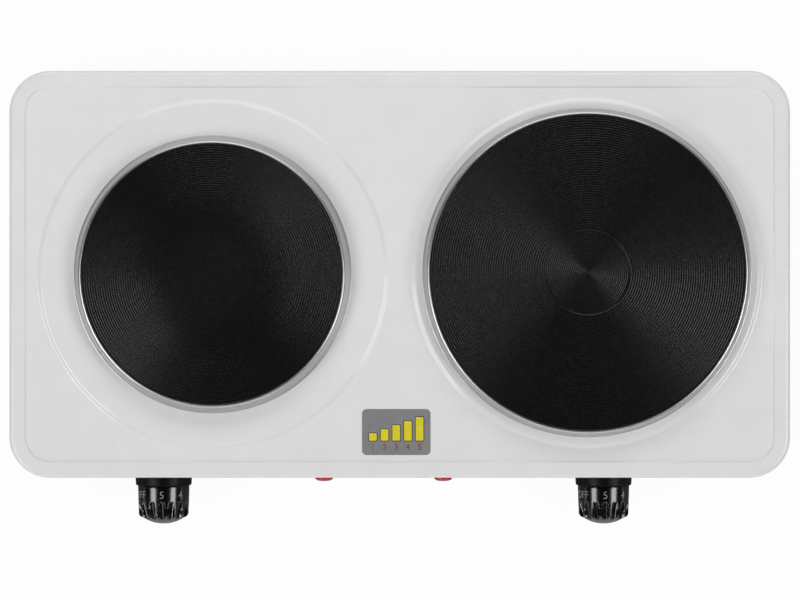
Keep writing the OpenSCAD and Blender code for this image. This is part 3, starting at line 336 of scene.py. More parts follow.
grain_tree, g, end = new_group("grain", "ShaderNodeTree",
                               [("Size", FLOAT, 0.001), ("Stretch", VECTOR, (1, 1, 1)),
                                ("Coarse", FLOAT, 0.5)],
                               [("Value", FLOAT), ("Fine", FLOAT)])
stretched = on_vectors(grain_tree, "MULTIPLY", object_place(grain_tree), g["Stretch"])
per_metre = g["Size"].math("POWER", -1.0)
coarse = node(grain_tree, "ShaderNodeTexNoise", "Fac", None, Vector=stretched,
              Scale=per_metre * 0.2, Detail=3.0)
fine = node(grain_tree, "ShaderNodeTexNoise", "Fac", None, Vector=stretched, Scale=per_metre,
            Detail=2.0)
feed(grain_tree, coarse * g["Coarse"] + fine * (g["Coarse"] * -1.0 + 1.0), end.inputs["Value"])
feed(grain_tree, fine, end.inputs["Fine"])

# %% Effect: turning marks, fine rings round an axis
turning_tree, g, end = new_group("turning marks", "ShaderNodeTree",
                                 [("Centre", VECTOR, (0, 0, 0)), ("Across", VECTOR, (1, 1, 0)),
                                  ("Pitch", FLOAT, 0.0004)],
                                 [("Value", FLOAT)])
from_axis = on_vectors(turning_tree, "SUBTRACT", object_place(turning_tree), g["Centre"])
flat = on_vectors(turning_tree, "MULTIPLY", from_axis, g["Across"])
reach = on_vectors(turning_tree, "LENGTH", flat, outlet="Value")
rings = node(turning_tree, "ShaderNodeTexNoise", "Fac", {"noise_dimensions": "1D"},
             W=reach / g["Pitch"], Scale=1.0, Detail=2.0)
feed(turning_tree, rings, end.inputs["Value"])

# %% Effect: dust on faces that look up
dust_tree, g, end = new_group("dust", "ShaderNodeTree",
                              [("Amount", FLOAT, 0.2), ("Patch", FLOAT, 0.03)],
                              [("Mask", FLOAT)])
up = node(dust_tree, "ShaderNodeSeparateXYZ", "Z",
          Vector=node(dust_tree, "ShaderNodeNewGeometry", "Normal"))
patches = node(dust_tree, "ShaderNodeTexNoise", "Fac", None, Vector=object_place(dust_tree),
               Scale=g["Patch"].math("POWER", -1.0), Detail=6.0)
feed(dust_tree, up.between(0.3, 1.0) * patches.between(0.45, 0.75) * g["Amount"],
     end.inputs["Mask"])

# %% Effect: hairline scuffs in a gloss
scuff_tree, g, end = new_group("scuffs", "ShaderNodeTree",
                               [("Size", FLOAT, 0.02), ("Amount", FLOAT, 0.3)],
                               [("Mask", FLOAT)])
turned_place = node(scuff_tree, "ShaderNodeMapping", 0, None, Vector=object_place(scuff_tree),
                    Rotation=(0.4, 0.3, 0.9), Scale=(1.0, 14.0, 6.0))
lines = node(scuff_tree, "ShaderNodeTexNoise", "Fac", None, Vector=turned_place,
             Scale=g["Size"].math("POWER", -1.0), Detail=5.0, Roughness=0.7)
where = node(scuff_tree, "ShaderNodeTexNoise", "Fac", None, Vector=object_place(scuff_tree),
             Scale=g["Size"].math("POWER", -1.0) * 0.4, Detail=2.0)
feed(scuff_tree, lines.between(0.58, 0.66) * where.between(0.45, 0.65) * g["Amount"],
     end.inputs["Mask"])
print("effects", [group.name for group in bpy.data.node_groups])

# %% Helpers: a finish, and an effect placed in it
def effect(tree, group, outlet, **values):
    """Places a shared effect in a finish."""
    made = tree.nodes.new("ShaderNodeGroup")
    made.node_tree = group
    for key, value in values.items():
        feed(tree, value, made.inputs[key.replace("_", " ")])
    return Wire(tree, made.outputs[outlet])


def blend_colours(tree, share, first, second):
    """first where share is 0, second where it is 1."""
    made = tree.nodes.new("ShaderNodeMix")
    made.data_type = "RGBA"
    feed(tree, share, made.inputs["Factor"])
    feed(tree, first, made.inputs[6])
    feed(tree, second, made.inputs[7])
    return Wire(tree, made.outputs[2])


def bump(tree, height, distance, strength=1.0):
    """A bump from a height between 0 and 1 that stands for distance metres."""
    return node(tree, "ShaderNodeBump", 0, None, Height=height, Distance=distance,
                Strength=strength)


def finish_named(name, **constants):
    """A new material: gives back it, its tree and its Principled shader with constants set."""
    material = bpy.data.materials.new(name)
    material.use_nodes = True
    shader = material.node_tree.nodes["Principled BSDF"]
    for key, value in constants.items():
        feed(material.node_tree, value, shader.inputs[key.replace("_", " ")])
    return material, material.node_tree, shader.inputs

# %% [markdown]
# ## Finishes
# Each finish starts from the plain colour of its material and gets what handling and making leave
# on it. The enamel is a thin glass: glossy, very slightly rippled from firing, a little thinner at
# its cut edges, with a few specks burnt in. The iron is blackened with a heat-proof coat; the shade
# in its grooves is painted in as a near-black colour, and paler grain on the crests partly paints in their
# sparkle.

# %% Finish: enamel
finishes = {}
material, tree, shader = finish_named("enamel", IOR=1.5, Specular_IOR_Level=0.45)
ripple = effect(tree, grain_tree, "Value", Size=0.004, Coarse=0.8)
speck_cells = tree.nodes.new("ShaderNodeTexVoronoi")
speck_cells.inputs["Scale"].default_value = 55
feed(tree, object_place(tree), speck_cells.inputs["Vector"])
speck_near = Wire(tree, speck_cells.outputs["Distance"])
speck_pick = node(tree, "ShaderNodeSeparateColor", 0, None,
                  Color=Wire(tree, speck_cells.outputs["Color"]))
speck = speck_near.between(0.006, 0.014, 1.0, 0.0) * speck_pick.between(0.93, 0.94)
tint = blend_colours(tree, ripple.between(0.35, 0.65), (0.79, 0.79, 0.79), (0.81, 0.81, 0.81))
dusty = blend_colours(tree, effect(tree, dust_tree, "Mask", Amount=0.05, Patch=0.08), tint,
                      (0.74, 0.735, 0.72))
height = node(tree, "ShaderNodeSeparateXYZ", "Z", None, Vector=object_place(tree))
thin_edge = height.between(base_z, base_z + 0.7 * MM, 0.45, 0.0)
worn = blend_colours(tree, thin_edge, dusty, (0.35, 0.36, 0.38))
feed(tree, blend_colours(tree, speck * 0.85, worn, (0.12, 0.09, 0.07)), shader["Base Color"])
feed(tree, effect(tree, scuff_tree, "Mask", Size=0.03, Amount=0.12) + 0.15, shader["Roughness"])
feed(tree, bump(tree, ripple, 0.00006, 0.25), shader["Normal"])
finishes["enamel"] = material

# %% Finish: blackened cast iron
material, tree, shader = finish_named("cast iron", IOR=1.45, Specular_IOR_Level=0.42)
sand = effect(tree, grain_tree, "Fine", Size=0.0007)
blotch = effect(tree, grain_tree, "Value", Size=0.012, Coarse=0.6)
groove_depth = node(tree, "ShaderNodeAttribute", "Fac", {"attribute_name": "groove"})
# Painted shade: the grooves get a near-black colour, and the crests keep the coat's colour.
crest_vs_painted_groove_shade = groove_depth.between(0.05, 0.6, 1, 0)
# Paler, less rough grain spots on the crests: partly real grain (roughness), partly painted glints (paler colour).
grain_and_painted_glint = sand.between(0.46, 0.62)
coat = blend_colours(tree, grain_and_painted_glint, (0.0052, 0.0054, 0.0058), (0.0145, 0.0146, 0.0150))
feed(tree, blend_colours(tree, crest_vs_painted_groove_shade * 0.9 + 0.05, (0.0002, 0.0002, 0.0003), coat),
     shader["Base Color"])
feed(tree, grain_and_painted_glint * -0.08 + blotch * 0.06 + 0.27, shader["Roughness"])
feed(tree, bump(tree, sand, 0.00009, 0.9), shader["Normal"])
finishes["cast_iron"] = material


# %% Finish: spun steel of an overflow ring, with turning marks round its own plate
def spun_steel(name, centre, colour, roughness):
    material, tree, shader = finish_named(name, Metallic=1.0)
    marks = effect(tree, turning_tree, "Value", Centre=centre, Across=(1, 1, 0), Pitch=0.0003)
    drawn = effect(tree, grain_tree, "Value", Size=0.003, Coarse=0.5)
    darker = tuple(c * 0.9 for c in colour)
    feed(tree, blend_colours(tree, marks.between(0.35, 0.65), darker, colour),
         shader["Base Color"])
    feed(tree, marks * 0.08 + drawn * 0.08 + roughness, shader["Roughness"])
    feed(tree, bump(tree, marks, 0.00001, 0.3), shader["Normal"])
    return material


for side, plate in plates.items():
    centre = (plate["at"].x, plate["at"].y, 0)
    finishes[f"{side}_ring"] = spun_steel(f"{side} ring steel", centre, (0.58, 0.57, 0.575), 0.3)


# %% Finish: moulded plastics and rubber
def moulded(name, colour, roughness, grain_size, relief, gloss=0.5, dusty=0.08, scuffed=0.22):
    """Moulded plastic or rubber: fine tool grain, hairline scuffs, a little dust."""
    material, tree, shader = finish_named(name, IOR=1.5, Specular_IOR_Level=gloss)
    skin = effect(tree, grain_tree, "Value", Size=grain_size, Coarse=0.25)
    paler = tuple(min(1.0, c * 1.25 + 0.002) for c in colour)
    mottled = blend_colours(tree, skin.between(0.35, 0.65), colour, paler)
    dust = effect(tree, dust_tree, "Mask", Amount=dusty, Patch=0.02)
    feed(tree, blend_colours(tree, dust, mottled, (0.2, 0.19, 0.17)), shader["Base Color"])
    scuffs = effect(tree, scuff_tree, "Mask", Size=0.012, Amount=scuffed)
    feed(tree, scuffs + skin * 0.06 + roughness, shader["Roughness"])
    feed(tree, bump(tree, skin, relief, 0.4), shader["Normal"])
    return material


finishes["knob_plastic"] = moulded("knob plastic", (0.0014, 0.0014, 0.0016), 0.14, 0.0012,
                                   0.000001, 1.0, 0.004, 0.06)
finishes["bezel_plastic"] = moulded("bezel plastic", (0.0028, 0.0028, 0.0031), 0.36, 0.0005,
                                    0.00001, 0.14, 0.01)
finishes["black_plastic"] = moulded("gland plastic", (0.010, 0.010, 0.011), 0.38, 0.0006,
                                    0.00001, 0.35, 0.04)
finishes["rubber"] = moulded("foot rubber", (0.022, 0.022, 0.021), 0.62, 0.0007, 0.00005)
finishes["terminal_plastic"] = moulded("terminal plastic", (0.55, 0.54, 0.50), 0.4, 0.0006, 0.00002)
finishes["dial_print"] = moulded("dial print", (0.30, 0.30, 0.30), 0.5, 0.0004, 0.00001)
for colour_name, colour in (("brown", (0.10, 0.035, 0.015)), ("white", (0.6, 0.6, 0.58)),
                            ("blue", (0.02, 0.06, 0.3)), ("yellow", (0.55, 0.45, 0.03)),
                            ("green", (0.03, 0.25, 0.06))):
    finishes[f"lead_{colour_name}"] = moulded(f"{colour_name} sleeve", colour, 0.5, 0.0006,
                                              0.00003)


# %% Finish: plain metals, plated or as rolled
def plain_metal(name, colour, roughness, stretch=(1, 1, 1), relief=0.00002, dull=0.7):
    """A metal with rolling or plating grain, duller and rougher in patches."""
    material, tree, shader = finish_named(name, Metallic=1.0)
    streaks = effect(tree, grain_tree, "Value", Size=0.0012, Stretch=stretch, Coarse=0.5)
    patch = effect(tree, grain_tree, "Value", Size=0.006, Coarse=0.7)
    tint = blend_colours(tree, streaks.between(0.35, 0.65), tuple(c * dull for c in colour), colour)
    feed(tree, tint, shader["Base Color"])
    feed(tree, streaks * 0.15 + patch * 0.2 + roughness, shader["Roughness"])
    feed(tree, bump(tree, streaks, relief, 0.4), shader["Normal"])
    return material


for slot_name, colour, roughness, stretch in (
        ("base_sheet", (0.42, 0.43, 0.44), 0.34, (0.15, 1, 1)),
        ("zinc_screw", (0.58, 0.57, 0.53), 0.22, (1, 1, 1)),
        ("stainless", (0.55, 0.54, 0.53), 0.24, (0.2, 1, 1)),
        ("element", (0.16, 0.17, 0.13), 0.5, (1, 1, 1)),
        ("plated_steel", (0.52, 0.53, 0.55), 0.28, (1, 0.2, 1)),
        ("spring_steel", (0.40, 0.41, 0.44), 0.25, (1, 0.2, 1)),
        ("brass", (0.62, 0.46, 0.20), 0.22, (1, 1, 0.3)),
        ("contact_bronze", (0.60, 0.36, 0.20), 0.26, (1, 0.2, 1)),
        ("aluminium", (0.66, 0.66, 0.67), 0.3, (0.2, 1, 1))):
    finishes[slot_name] = plain_metal(slot_name.replace("_", " "), colour, roughness, stretch)


# %% Finish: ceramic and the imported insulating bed
def fired(name, colour, roughness, grain_size, relief):
    """Unglazed ceramic or pressed mineral: matt, with a sandy grain and faint stains."""
    material, tree, shader = finish_named(name, IOR=1.5)
    sandy = effect(tree, grain_tree, "Fine", Size=grain_size)
    stain = effect(tree, grain_tree, "Value", Size=0.01, Coarse=0.8)
    darker = tuple(c * 0.78 for c in colour)
    feed(tree, blend_colours(tree, (sandy + stain) * 0.5, darker, colour), shader["Base Color"])
    feed(tree, sandy * 0.2 + roughness, shader["Roughness"])
    feed(tree, bump(tree, sandy, relief, 0.6), shader["Normal"])
    return material


finishes["ceramic"] = fired("ceramic", (0.72, 0.68, 0.60), 0.45, 0.0008, 0.00004)
finishes["insulating_bed"] = fired("insulating bed", (0.46, 0.43, 0.38), 0.75, 0.0011, 0.00012)

# %% Finish: red lens and bulb glass
material, tree, shader = finish_named("red lens", IOR=1.49, Specular_IOR_Level=0.9,
                                      Transmission_Weight=0.08)
swirl = effect(tree, grain_tree, "Value", Size=0.002, Coarse=0.5)
feed(tree, blend_colours(tree, swirl.between(0.3, 0.7), (0.46, 0.003, 0.010), (0.58, 0.004, 0.014)),
     shader["Base Color"])
feed(tree, effect(tree, scuff_tree, "Mask", Size=0.006, Amount=0.15) + 0.07, shader["Roughness"])
feed(tree, bump(tree, swirl, 0.00002, 0.3), shader["Normal"])
finishes["red_lens"] = material
material, tree, shader = finish_named("bulb glass", IOR=1.47, Transmission_Weight=0.9)
smoke = effect(tree, grain_tree, "Value", Size=0.002, Coarse=0.5)
feed(tree, blend_colours(tree, smoke, (0.9, 0.72, 0.6), (0.97, 0.9, 0.85)), shader["Base Color"])
feed(tree, smoke * 0.08 + 0.03, shader["Roughness"])
finishes["bulb_glass"] = material
print("finishes", len(finishes))

# %% [markdown]
# ## Camera
# The hot plate is shown from straight above with its front at the bottom of the picture, as for a
# shop page. A long lens high above the plates keeps the casing's walls out of sight, so only the
# dials and lamps show beside it. Standing a little to the front of the middle keeps both in view.

# %% Camera
eye = Vector((0.15 * MM, -1.8 * MM, 1.671))
camera_data = bpy.data.cameras.new("camera")
camera_data.lens = 121.05
camera = in_scene("camera", camera_data)
camera.location = eye
bpy.context.scene.camera = camera
print("camera", round(eye.z - plate_z, 3), "m above the plates")

# %% [markdown]
# ## Light
# Glossy black and glossy white both show their lamps as mirror pictures, so the lamps' shape
# matters as much as their strength. Two tall soft boxes stand left and right, each leaning over
# the front corners. They draw the two pale strips on a dial and the bright fans on the turned
# plates. A soft sheet behind lifts the rear, a low wide one in front draws the roll of the front
# edge and the dials' shoulders, and the room adds a plain low level.
# The lamps are strong enough for a colour to come out about as it is written, and no stronger.

# %% Soft boxes
def soft_box(name, azimuth, off_vertical, distance, width, height, watts):
    """An area lamp that looks at the casing's middle; azimuth is in degrees from +X."""
    a, tilt = radians(azimuth), radians(off_vertical)
    lamp = bpy.data.lights.new(name, "AREA")
    lamp.shape, lamp.size, lamp.size_y, lamp.energy = "RECTANGLE", width, height, watts
    holder = in_scene(name, lamp)
    reach = Vector((cos(a) * sin(tilt), sin(a) * sin(tilt), cos(tilt))) * distance
    aim = Vector((casing_middle.x, casing_middle.y, plate_z))
    holder.location = aim + reach
    holder.rotation_euler = reach.to_track_quat("Z", "Y").to_euler()


soft_box("left soft box", 180 + 26, 47, 2.4, 1.5, 0.9, 22)
soft_box("right soft box", -17, 47, 2.4, 1.2, 0.9, 19)
soft_box("rear sheet", 90, 56, 1.1, 1.3, 0.4, 5)
soft_box("front fill", -90, 74, 2.4, 2.2, 0.7, 9)

# %% [markdown]
# ## Floor and room
# The ground is plain white paper. For the camera it is simply white at strength 1; a share of
# ordinary shading stays in, so the casing still has its shadow. Mirrored rays see it a little
# greyer, and under the hot plate and just in front of it they see a strip of painted shade. In those rays the room
# is white round the horizon and dark overhead, as a studio is between its lamps, with a dark flag at
# each side; past the floor's edge, the camera sees a plain pale grey.
# Black plastic is only black while something dark stands over it and beside it: without the
# flags, the dials' barrels turn grey where they face sideways.

# %% Floor
def seen_by(tree):
    """Two masks: rays from the camera, and rays that were mirrored or went through glass."""
    looks = tree.nodes.new("ShaderNodeLightPath").outputs
    mirrored = Wire(tree, looks["Is Glossy Ray"]).math("MAXIMUM", looks["Is Transmission Ray"])
    return Wire(tree, looks["Is Camera Ray"]), mirrored


def either(tree, share, first, second):
    """The first shader where share is 0, the second where it is 1."""
    mix = tree.nodes.new("ShaderNodeMixShader")
    for socket, value in zip(mix.inputs, (share, first, second)):
        feed(tree, value, socket)
    return Wire(tree, mix.outputs[0])


floor_half, floor_white, floor_shown = 3.0, 0.9, 0.95
mirrored_white, mirrored_shade_level = 0.65, 0.10
paper = bpy.data.materials.new("paper")
paper.use_nodes = True
tree, paper_shader = paper.node_tree, paper.node_tree.nodes["Principled BSDF"]
paper_shader.inputs["Base Color"].default_value = (floor_white, floor_white, floor_white, 1)
paper_shader.inputs["Roughness"].default_value = 0.9
depth = node(tree, "ShaderNodeSeparateXYZ", "Y", None, Vector=object_place(tree))
# Painted shade: in mirrored rays the paper is darkened in a strip under and just in front of the hot plate.
painted_shade_strip = (depth.between(front_y - 0.06, front_y - 0.035)
         * depth.between(rear_y, rear_y + 0.03, 1.0, 0.0))
by_camera, by_mirror = seen_by(tree)
level = by_camera.math("MAXIMUM", painted_shade_strip * (mirrored_shade_level - mirrored_white) + mirrored_white)
paper_look = either(tree, by_camera.math("MAXIMUM", by_mirror) * floor_shown,
                    paper_shader.outputs[0], node(tree, "ShaderNodeEmission", Strength=level))
feed(tree, paper_look, tree.nodes["Material Output"].inputs["Surface"])
floor = piece_from("floor", [(x * floor_half, y * floor_half, 0)
                             for x, y in ((-1, -1), (1, -1), (1, 1), (-1, 1))], [(0, 1, 2, 3)])
floor.data.materials.append(paper)

# %% Room
ambient_level, flag_level, overhead_level, room_shown = 0.22, 0.12, 0.02, 0.8
room = bpy.data.worlds.new("room")
bpy.context.scene.world = room
room.use_nodes = True
tree = room.node_tree
tree.nodes.clear()
way = node(tree, "ShaderNodeTexCoord", "Generated")
dome = node(tree, "ShaderNodeSeparateXYZ", "Z", None, Vector=way).between(
    0.0, 0.26, 1.0, overhead_level)
flags = node(tree, "ShaderNodeSeparateXYZ", "Y", None, Vector=way).math("ABSOLUTE").between(
    0.25, 0.75, flag_level, 1.0)
by_camera, by_mirror = seen_by(tree)
lit = either(tree, by_mirror,
             node(tree, "ShaderNodeBackground", Color=(1, 1, 1), Strength=ambient_level),
             node(tree, "ShaderNodeBackground", Color=dome * flags))
shown = either(tree, by_camera, lit,
               node(tree, "ShaderNodeBackground", Color=(room_shown, room_shown, room_shown)))
feed(tree, shown, tree.nodes.new("ShaderNodeOutputWorld").inputs["Surface"])
bpy.context.scene.view_settings.view_transform = "Standard"

# %% [markdown]
# ## The enamelled casing
# The real casing is one sheet of steel, drawn over a tool: a rounded rim with a thin roll, a step
# down to a sunken panel, two round plateaus that lift the plates, and a lip turned in below for the
# base sheet's screws. It could be a box with bevels, but a pressing is the same section carried
# round its border, so that section is written once and swept round the rounded rectangle. The
# plateaus are turned, and only the flat panel between them is filled in. A loop close beside each
# bend keeps the flat parts truly flat in their reflections.

# %% Sections of the pressing
def step_curve(r0, z0, r1, z1, bend, count=14):
    """A pressed step between two levels: a straight slope with a share of bend at each end."""
    steep, points = 1 / (1 - bend), []
    for t in (i / count for i in range(count + 1)):
        if t < bend:
            rise = steep * t * t / (2 * bend)
        elif t <= 1 - bend:
            rise = steep * (t - bend / 2)
        else:
            rise = 1 - steep * (1 - t) ** 2 / (2 * bend)
        points.append((r0 + (r1 - r0) * t, z0 + (z1 - z0) * rise))
    return points


def arc(r, z, radius, start, end, count=8):
    """Points on a circle from start to end degrees."""
    angles = [radians(start + (end - start) * i / count) for i in range(count + 1)]
    return [(r + radius * cos(a), z + radius * sin(a)) for a in angles]


beside, hem_r = 0.3 * MM, 0.15 * MM
rim_in, panel_in = corner_r - rim_w, corner_r - rim_w - step_w
wall_in, flange_in = corner_r - sheet, corner_r - flange_w
flange_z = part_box("base_cover")[1].z + seat
roll = (corner_r - roll_r, rim_z - roll_r)
casing_section = (
    [(panel_in - beside, panel_z)]
    + step_curve(panel_in, panel_z, rim_in, rim_z, rim_bend)
    + [(rim_in + beside, rim_z), (roll[0] - beside, rim_z)]
    + arc(*roll, roll_r, 90, 0)
    + [(corner_r, roll[1] - beside), (corner_r, base_z + beside)]
    + arc(corner_r - hem_r, base_z + hem_r, hem_r, 0, -90, 3)
    + [(wall_in, base_z), (wall_in, flange_z), (flange_in, flange_z),
       (flange_in, flange_z + sheet), (wall_in, flange_z + sheet)]
    + arc(*roll, roll_r - sheet, 0, 90)
    + step_curve(rim_in, rim_z - sheet, panel_in, panel_z - sheet, rim_bend)
    + [(panel_in - beside, panel_z - sheet)])
print("casing section has", len(casing_section), "points")

# %% Border: the section carried round the rounded rectangle
corner_steps = 28


def border_loop(r, z):
    """One loop round the casing, where its corners have radius r."""
    loop = []
    for quarter, (sx, sy) in enumerate(((1, 1), (-1, 1), (-1, -1), (1, -1))):
        x = casing_middle.x + sx * (casing_w / 2 - corner_r)
        y = casing_middle.y + sy * (casing_d / 2 - corner_r)
        for k in range(corner_steps + 1):
            a = (quarter + k / corner_steps) * pi / 2
            loop.append((x + r * cos(a), y + r * sin(a), z))
    return loop


points, faces = [], []
per_loop = 4 * (corner_steps + 1)
for i, (r, z) in enumerate(casing_section):
    points += border_loop(r, z)
    if i:
        faces += band((i - 1) * per_loop, i * per_loop, per_loop)
border = piece_from("border", points, faces)

# %% Plateaus, each turned round its plate's middle
plateau_spokes = 192
hole_beyond_neck = 1.2 * MM
lip_w = 4.2 * MM
plateau_top = plateau_r - plateau_step
plateaus = []
for side, plate in plates.items():
    hole = plate["radius"] - lip_w + hole_beyond_neck
    section = ([(plateau_r + beside, panel_z)]
               + step_curve(plateau_r, panel_z, plateau_top, plateau_z, plateau_bend)
               + [(plateau_top - beside, plateau_z), (hole, plateau_z), (hole, plateau_z - sheet)]
               + step_curve(plateau_top, plateau_z - sheet, plateau_r, panel_z - sheet,
                            plateau_bend)
               + [(plateau_r + beside, panel_z - sheet)])
    at = Matrix.Translation((plate["at"].x, plate["at"].y, 0))
    plateaus.append(turned(f"plateau_{side}", section, at, plateau_spokes, closed=False))

# %% Panel: the flat sheet between the border and the plateaus, above and below
def flat_panel(z):
    """The panel's flat part at one height, with the two plateaus' circles left open."""
    loops = [border_loop(panel_in - beside, z)]
    radius = plateau_r + beside
    angles = np.linspace(0, 2 * pi, plateau_spokes, endpoint=False)
    for plate in plates.values():
        x, y = plate["at"].x, plate["at"].y
        loops.append([(x + radius * cos(a), y + radius * sin(a), z) for a in angles])
    points, edges = [], []
    for loop in loops:
        start, count = len(points), len(loop)
        points += [Vector(point[:2]) for point in loop]
        edges += [(start + k, start + (k + 1) % count) for k in range(count)]
    points, _, faces, *_ = delaunay_2d_cdt(points, edges, [], 0, 1e-7)
    reach = radius * cos(pi / plateau_spokes)
    kept = []
    for face in faces:
        centre = sum((points[i] for i in face), Vector((0, 0))) / len(face)
        if all(hypot(centre.x - p["at"].x, centre.y - p["at"].y) > reach for p in plates.values()):
            kept.append(face)
    return piece_from("panel", [(*point, z) for point in points], kept)


casing_shell = join([border, *plateaus, flat_panel(panel_z), flat_panel(panel_z - sheet)],
                    "enamelled_casing")
tidy(casing_shell)

# %% Holes for the dials, lamps, cord inlet and base screws
control_z = dial_axis["left_knob"].z
drills = []
inward = Vector((0, 1, 0))


def drill(x, z, radius):
    """A hole through the front wall."""
    drills.append(rod((x, front_y - 2 * MM, z), inward, 4 * MM, radius))


for axis in dial_axis.values():
    drill(axis.x, axis.z, 4.7 * MM)
    for across in (-12 * MM, 12 * MM):
        drill(axis.x + across, axis.z, 2.0 * MM)
        drill(axis.x, axis.z + across, 1.6 * MM)
for side in ("left", "right"):
    drill(middle(f"{side}_lamp_lens").x, control_z, 4.7 * MM)
gland_at = middle("cord_gland")
drills.append(rod((gland_at.x, rear_y + 2 * MM, gland_at.z), -inward, 4 * MM, 6.15 * MM))
base_screw_at = [Vector((x * MM, casing_middle.y + y * MM, 0)) for x in (-182, 0, 182)
                 for y in (-116, 116)]
for at in base_screw_at:
    drills.append(rod(at + Vector((0, 0, base_z)), (0, 0, 1), 4 * MM, 1.75 * MM, 32))
cut_with(casing_shell, drills)
tidy(casing_shell, merge=1e-7)
dress(casing_shell, finishes["enamel"], node_name="top_shell")
print("casing mesh", len(casing_shell.data.polygons), "faces")

# %% [markdown]
# ## Overflow rings
# Each plate stands in a thin stainless ring that keeps spills out of the casing: a collar round
# the plate's neck, a rounded edge beside the plate, and a steep cone down to the plateau. Most of
# what is seen of it is the pale enamel mirrored in the cone. It is spun from one sheet on the real
# hot plate, so here one outline is turned. The cone leaves the rounded edge along its tangent, so
# no line shows between them.

# %% Overflow rings
lip_h = 4.6 * MM
ring_skirt = {"small": 5.6 * MM, "large": 4.6 * MM}
ring_t, ring_gap, ring_drop = 0.6 * MM, 0.25 * MM, 0.6 * MM
ring_edge_r, ring_foot, collar_l = 2.2 * MM, 0.6 * MM, 2.2 * MM
inner_edge_r, throat_r = 0.23 * MM, 0.2 * MM
for side, plate in plates.items():
    neck, under = plate["radius"] - lip_w + 0.1 * MM, plate_z - lip_h - 0.1 * MM
    edge_in, edge_z = plate["radius"] + ring_gap, plate_z - ring_drop - ring_edge_r
    foot_out = plate["radius"] + ring_skirt[side]
    cone_end = (foot_out - ring_foot, plateau_z + ring_foot)
    across = (cone_end[0] - edge_in, cone_end[1] - edge_z)
    leave = atan2(across[1], across[0]) + acos(ring_edge_r / hypot(*across))
    inner_r = ring_edge_r - ring_t
    outline = (
        [(neck, under), (neck, under - collar_l), (neck + ring_t, under - collar_l)]
        + arc(neck + ring_t * 1.3, under - ring_t * 1.3, ring_t * 0.3, 180, 90, 3)
        + [(edge_in + ring_t, under - ring_t)]
        + arc(edge_in, edge_z, inner_r, degrees(acos(ring_t / inner_r)), degrees(leave), 12)
        + [(cone_end[0] - ring_t * cos(leave), cone_end[1] - ring_t * sin(leave)),
           (foot_out - ring_t, plateau_z), (foot_out, plateau_z), (foot_out, plateau_z + 0.1 * MM)]
        + arc(foot_out, cone_end[1] + 0.12 * MM, ring_foot, 262, 196, 6)
        + arc(edge_in, edge_z, ring_edge_r, degrees(leave), 84, 22)
        + arc(edge_in + inner_edge_r, plate_z - ring_drop - inner_edge_r, inner_edge_r, 90, 180, 5)
        + [(edge_in, under + throat_r)]
        + arc(edge_in - throat_r, under + throat_r, throat_r, 0, -90, 3))
    at = Matrix.Translation((plate["at"].x, plate["at"].y, 0))
    ring = turned(f"{side}_overflow_ring", outline, at, 256)
    tidy(ring, crease=60)
    dress(ring, finishes[f"{side}_ring"], node_name=f"{side}_plate_ring")
    print(ring.name, "reaches", round(foot_out, 4), "from the plate's middle")

# %% [markdown]
# ## Plates with a turned face
# A cast iron plate is faced on a lathe, and the tool leaves a groove at each turn: fine ones, a
# little over a millimetre apart, that are plain to see when light rakes over the iron. Painting
# them as a bump would be cheaper, but they are real relief that a finger feels, and the broad fans
# of light on the plate come from their flanks. They follow one rule, so a Geometry Nodes tree makes
# them: it bends a grid round the middle and lowers each row by where it stands in its groove. The
# shallow dish in the middle has its own, finer pitch.

# %% Tree: a turned face
INT, GEOMETRY, MATERIAL = "NodeSocketInt", "NodeSocketGeometry", "NodeSocketMaterial"
face_tree, g, end = new_group(
    "turned face", "GeometryNodeTree",
    [("Geometry", GEOMETRY, None), ("Radius", FLOAT, 0.09), ("Dish Radius", FLOAT, 0.02),
     ("Dish Depth", FLOAT, 0.001), ("Dish Slope", FLOAT, 0.001), ("Outer Grooves", INT, 40),
     ("Inner Grooves", INT, 20), ("Outer Depth", FLOAT, 0.0002), ("Inner Depth", FLOAT, 0.0001),
     ("Fade Start", FLOAT, 0.02), ("Fade End", FLOAT, 0.03), ("Spokes", INT, 256),
     ("Material", MATERIAL, None)],
    [("Geometry", GEOMETRY)])
samples = 5.0
inner_rows, outer_rows = g["Inner Grooves"] * samples, g["Outer Grooves"] * samples
around = g["Spokes"] + 1.0
grid = node(face_tree, "GeometryNodeMeshGrid", "Mesh", None, Vertices_Y=around,
            Vertices_X=inner_rows + outer_rows + 1.0)
index = node(face_tree, "GeometryNodeInputIndex")
row = (index / around).math("FLOOR")
turn = (index.math("MODULO", around) / g["Spokes"]) * (2 * pi)
reach = (row.math("MINIMUM", inner_rows) * g["Dish Radius"] / inner_rows
         + (row - inner_rows).math("MAXIMUM", 0.0) * (g["Radius"] - g["Dish Radius"]) / outer_rows)
phase = row.math("MODULO", samples)
groove = ((phase - 3.0).math("ABSOLUTE") * -0.5 + 1.0).math("MAXIMUM", 0.0)
depth = reach.between(g["Fade Start"], g["Fade End"], g["Inner Depth"], g["Outer Depth"])
dish = reach.between(g["Dish Radius"] - g["Dish Slope"], g["Dish Radius"], g["Dish Depth"], 0.0)
height = (groove * depth + dish) * -1.0
bent = node(face_tree, "GeometryNodeSetPosition", 0, None, Geometry=grid,
            Position=node(face_tree, "ShaderNodeCombineXYZ", 0, None, X=reach * turn.math("COSINE"),
                          Y=reach * turn.math("SINE"), Z=height))
marked = node(face_tree, "GeometryNodeStoreNamedAttribute", 0,
              {"data_type": "FLOAT", "domain": "POINT"}, Geometry=bent, Name="groove",
              Value=groove * depth / g["Outer Depth"])
closed = node(face_tree, "GeometryNodeMergeByDistance", 0, None, Geometry=marked, Distance=1e-6)
smooth = node(face_tree, "GeometryNodeSetShadeSmooth", 0, None, Geometry=closed)
real = node(face_tree, "GeometryNodeRealizeInstances", 0, None, Geometry=smooth)
painted = node(face_tree, "GeometryNodeSetMaterial", 0, None, Geometry=real, Material=g["Material"])
feed(face_tree, painted, end.inputs["Geometry"])


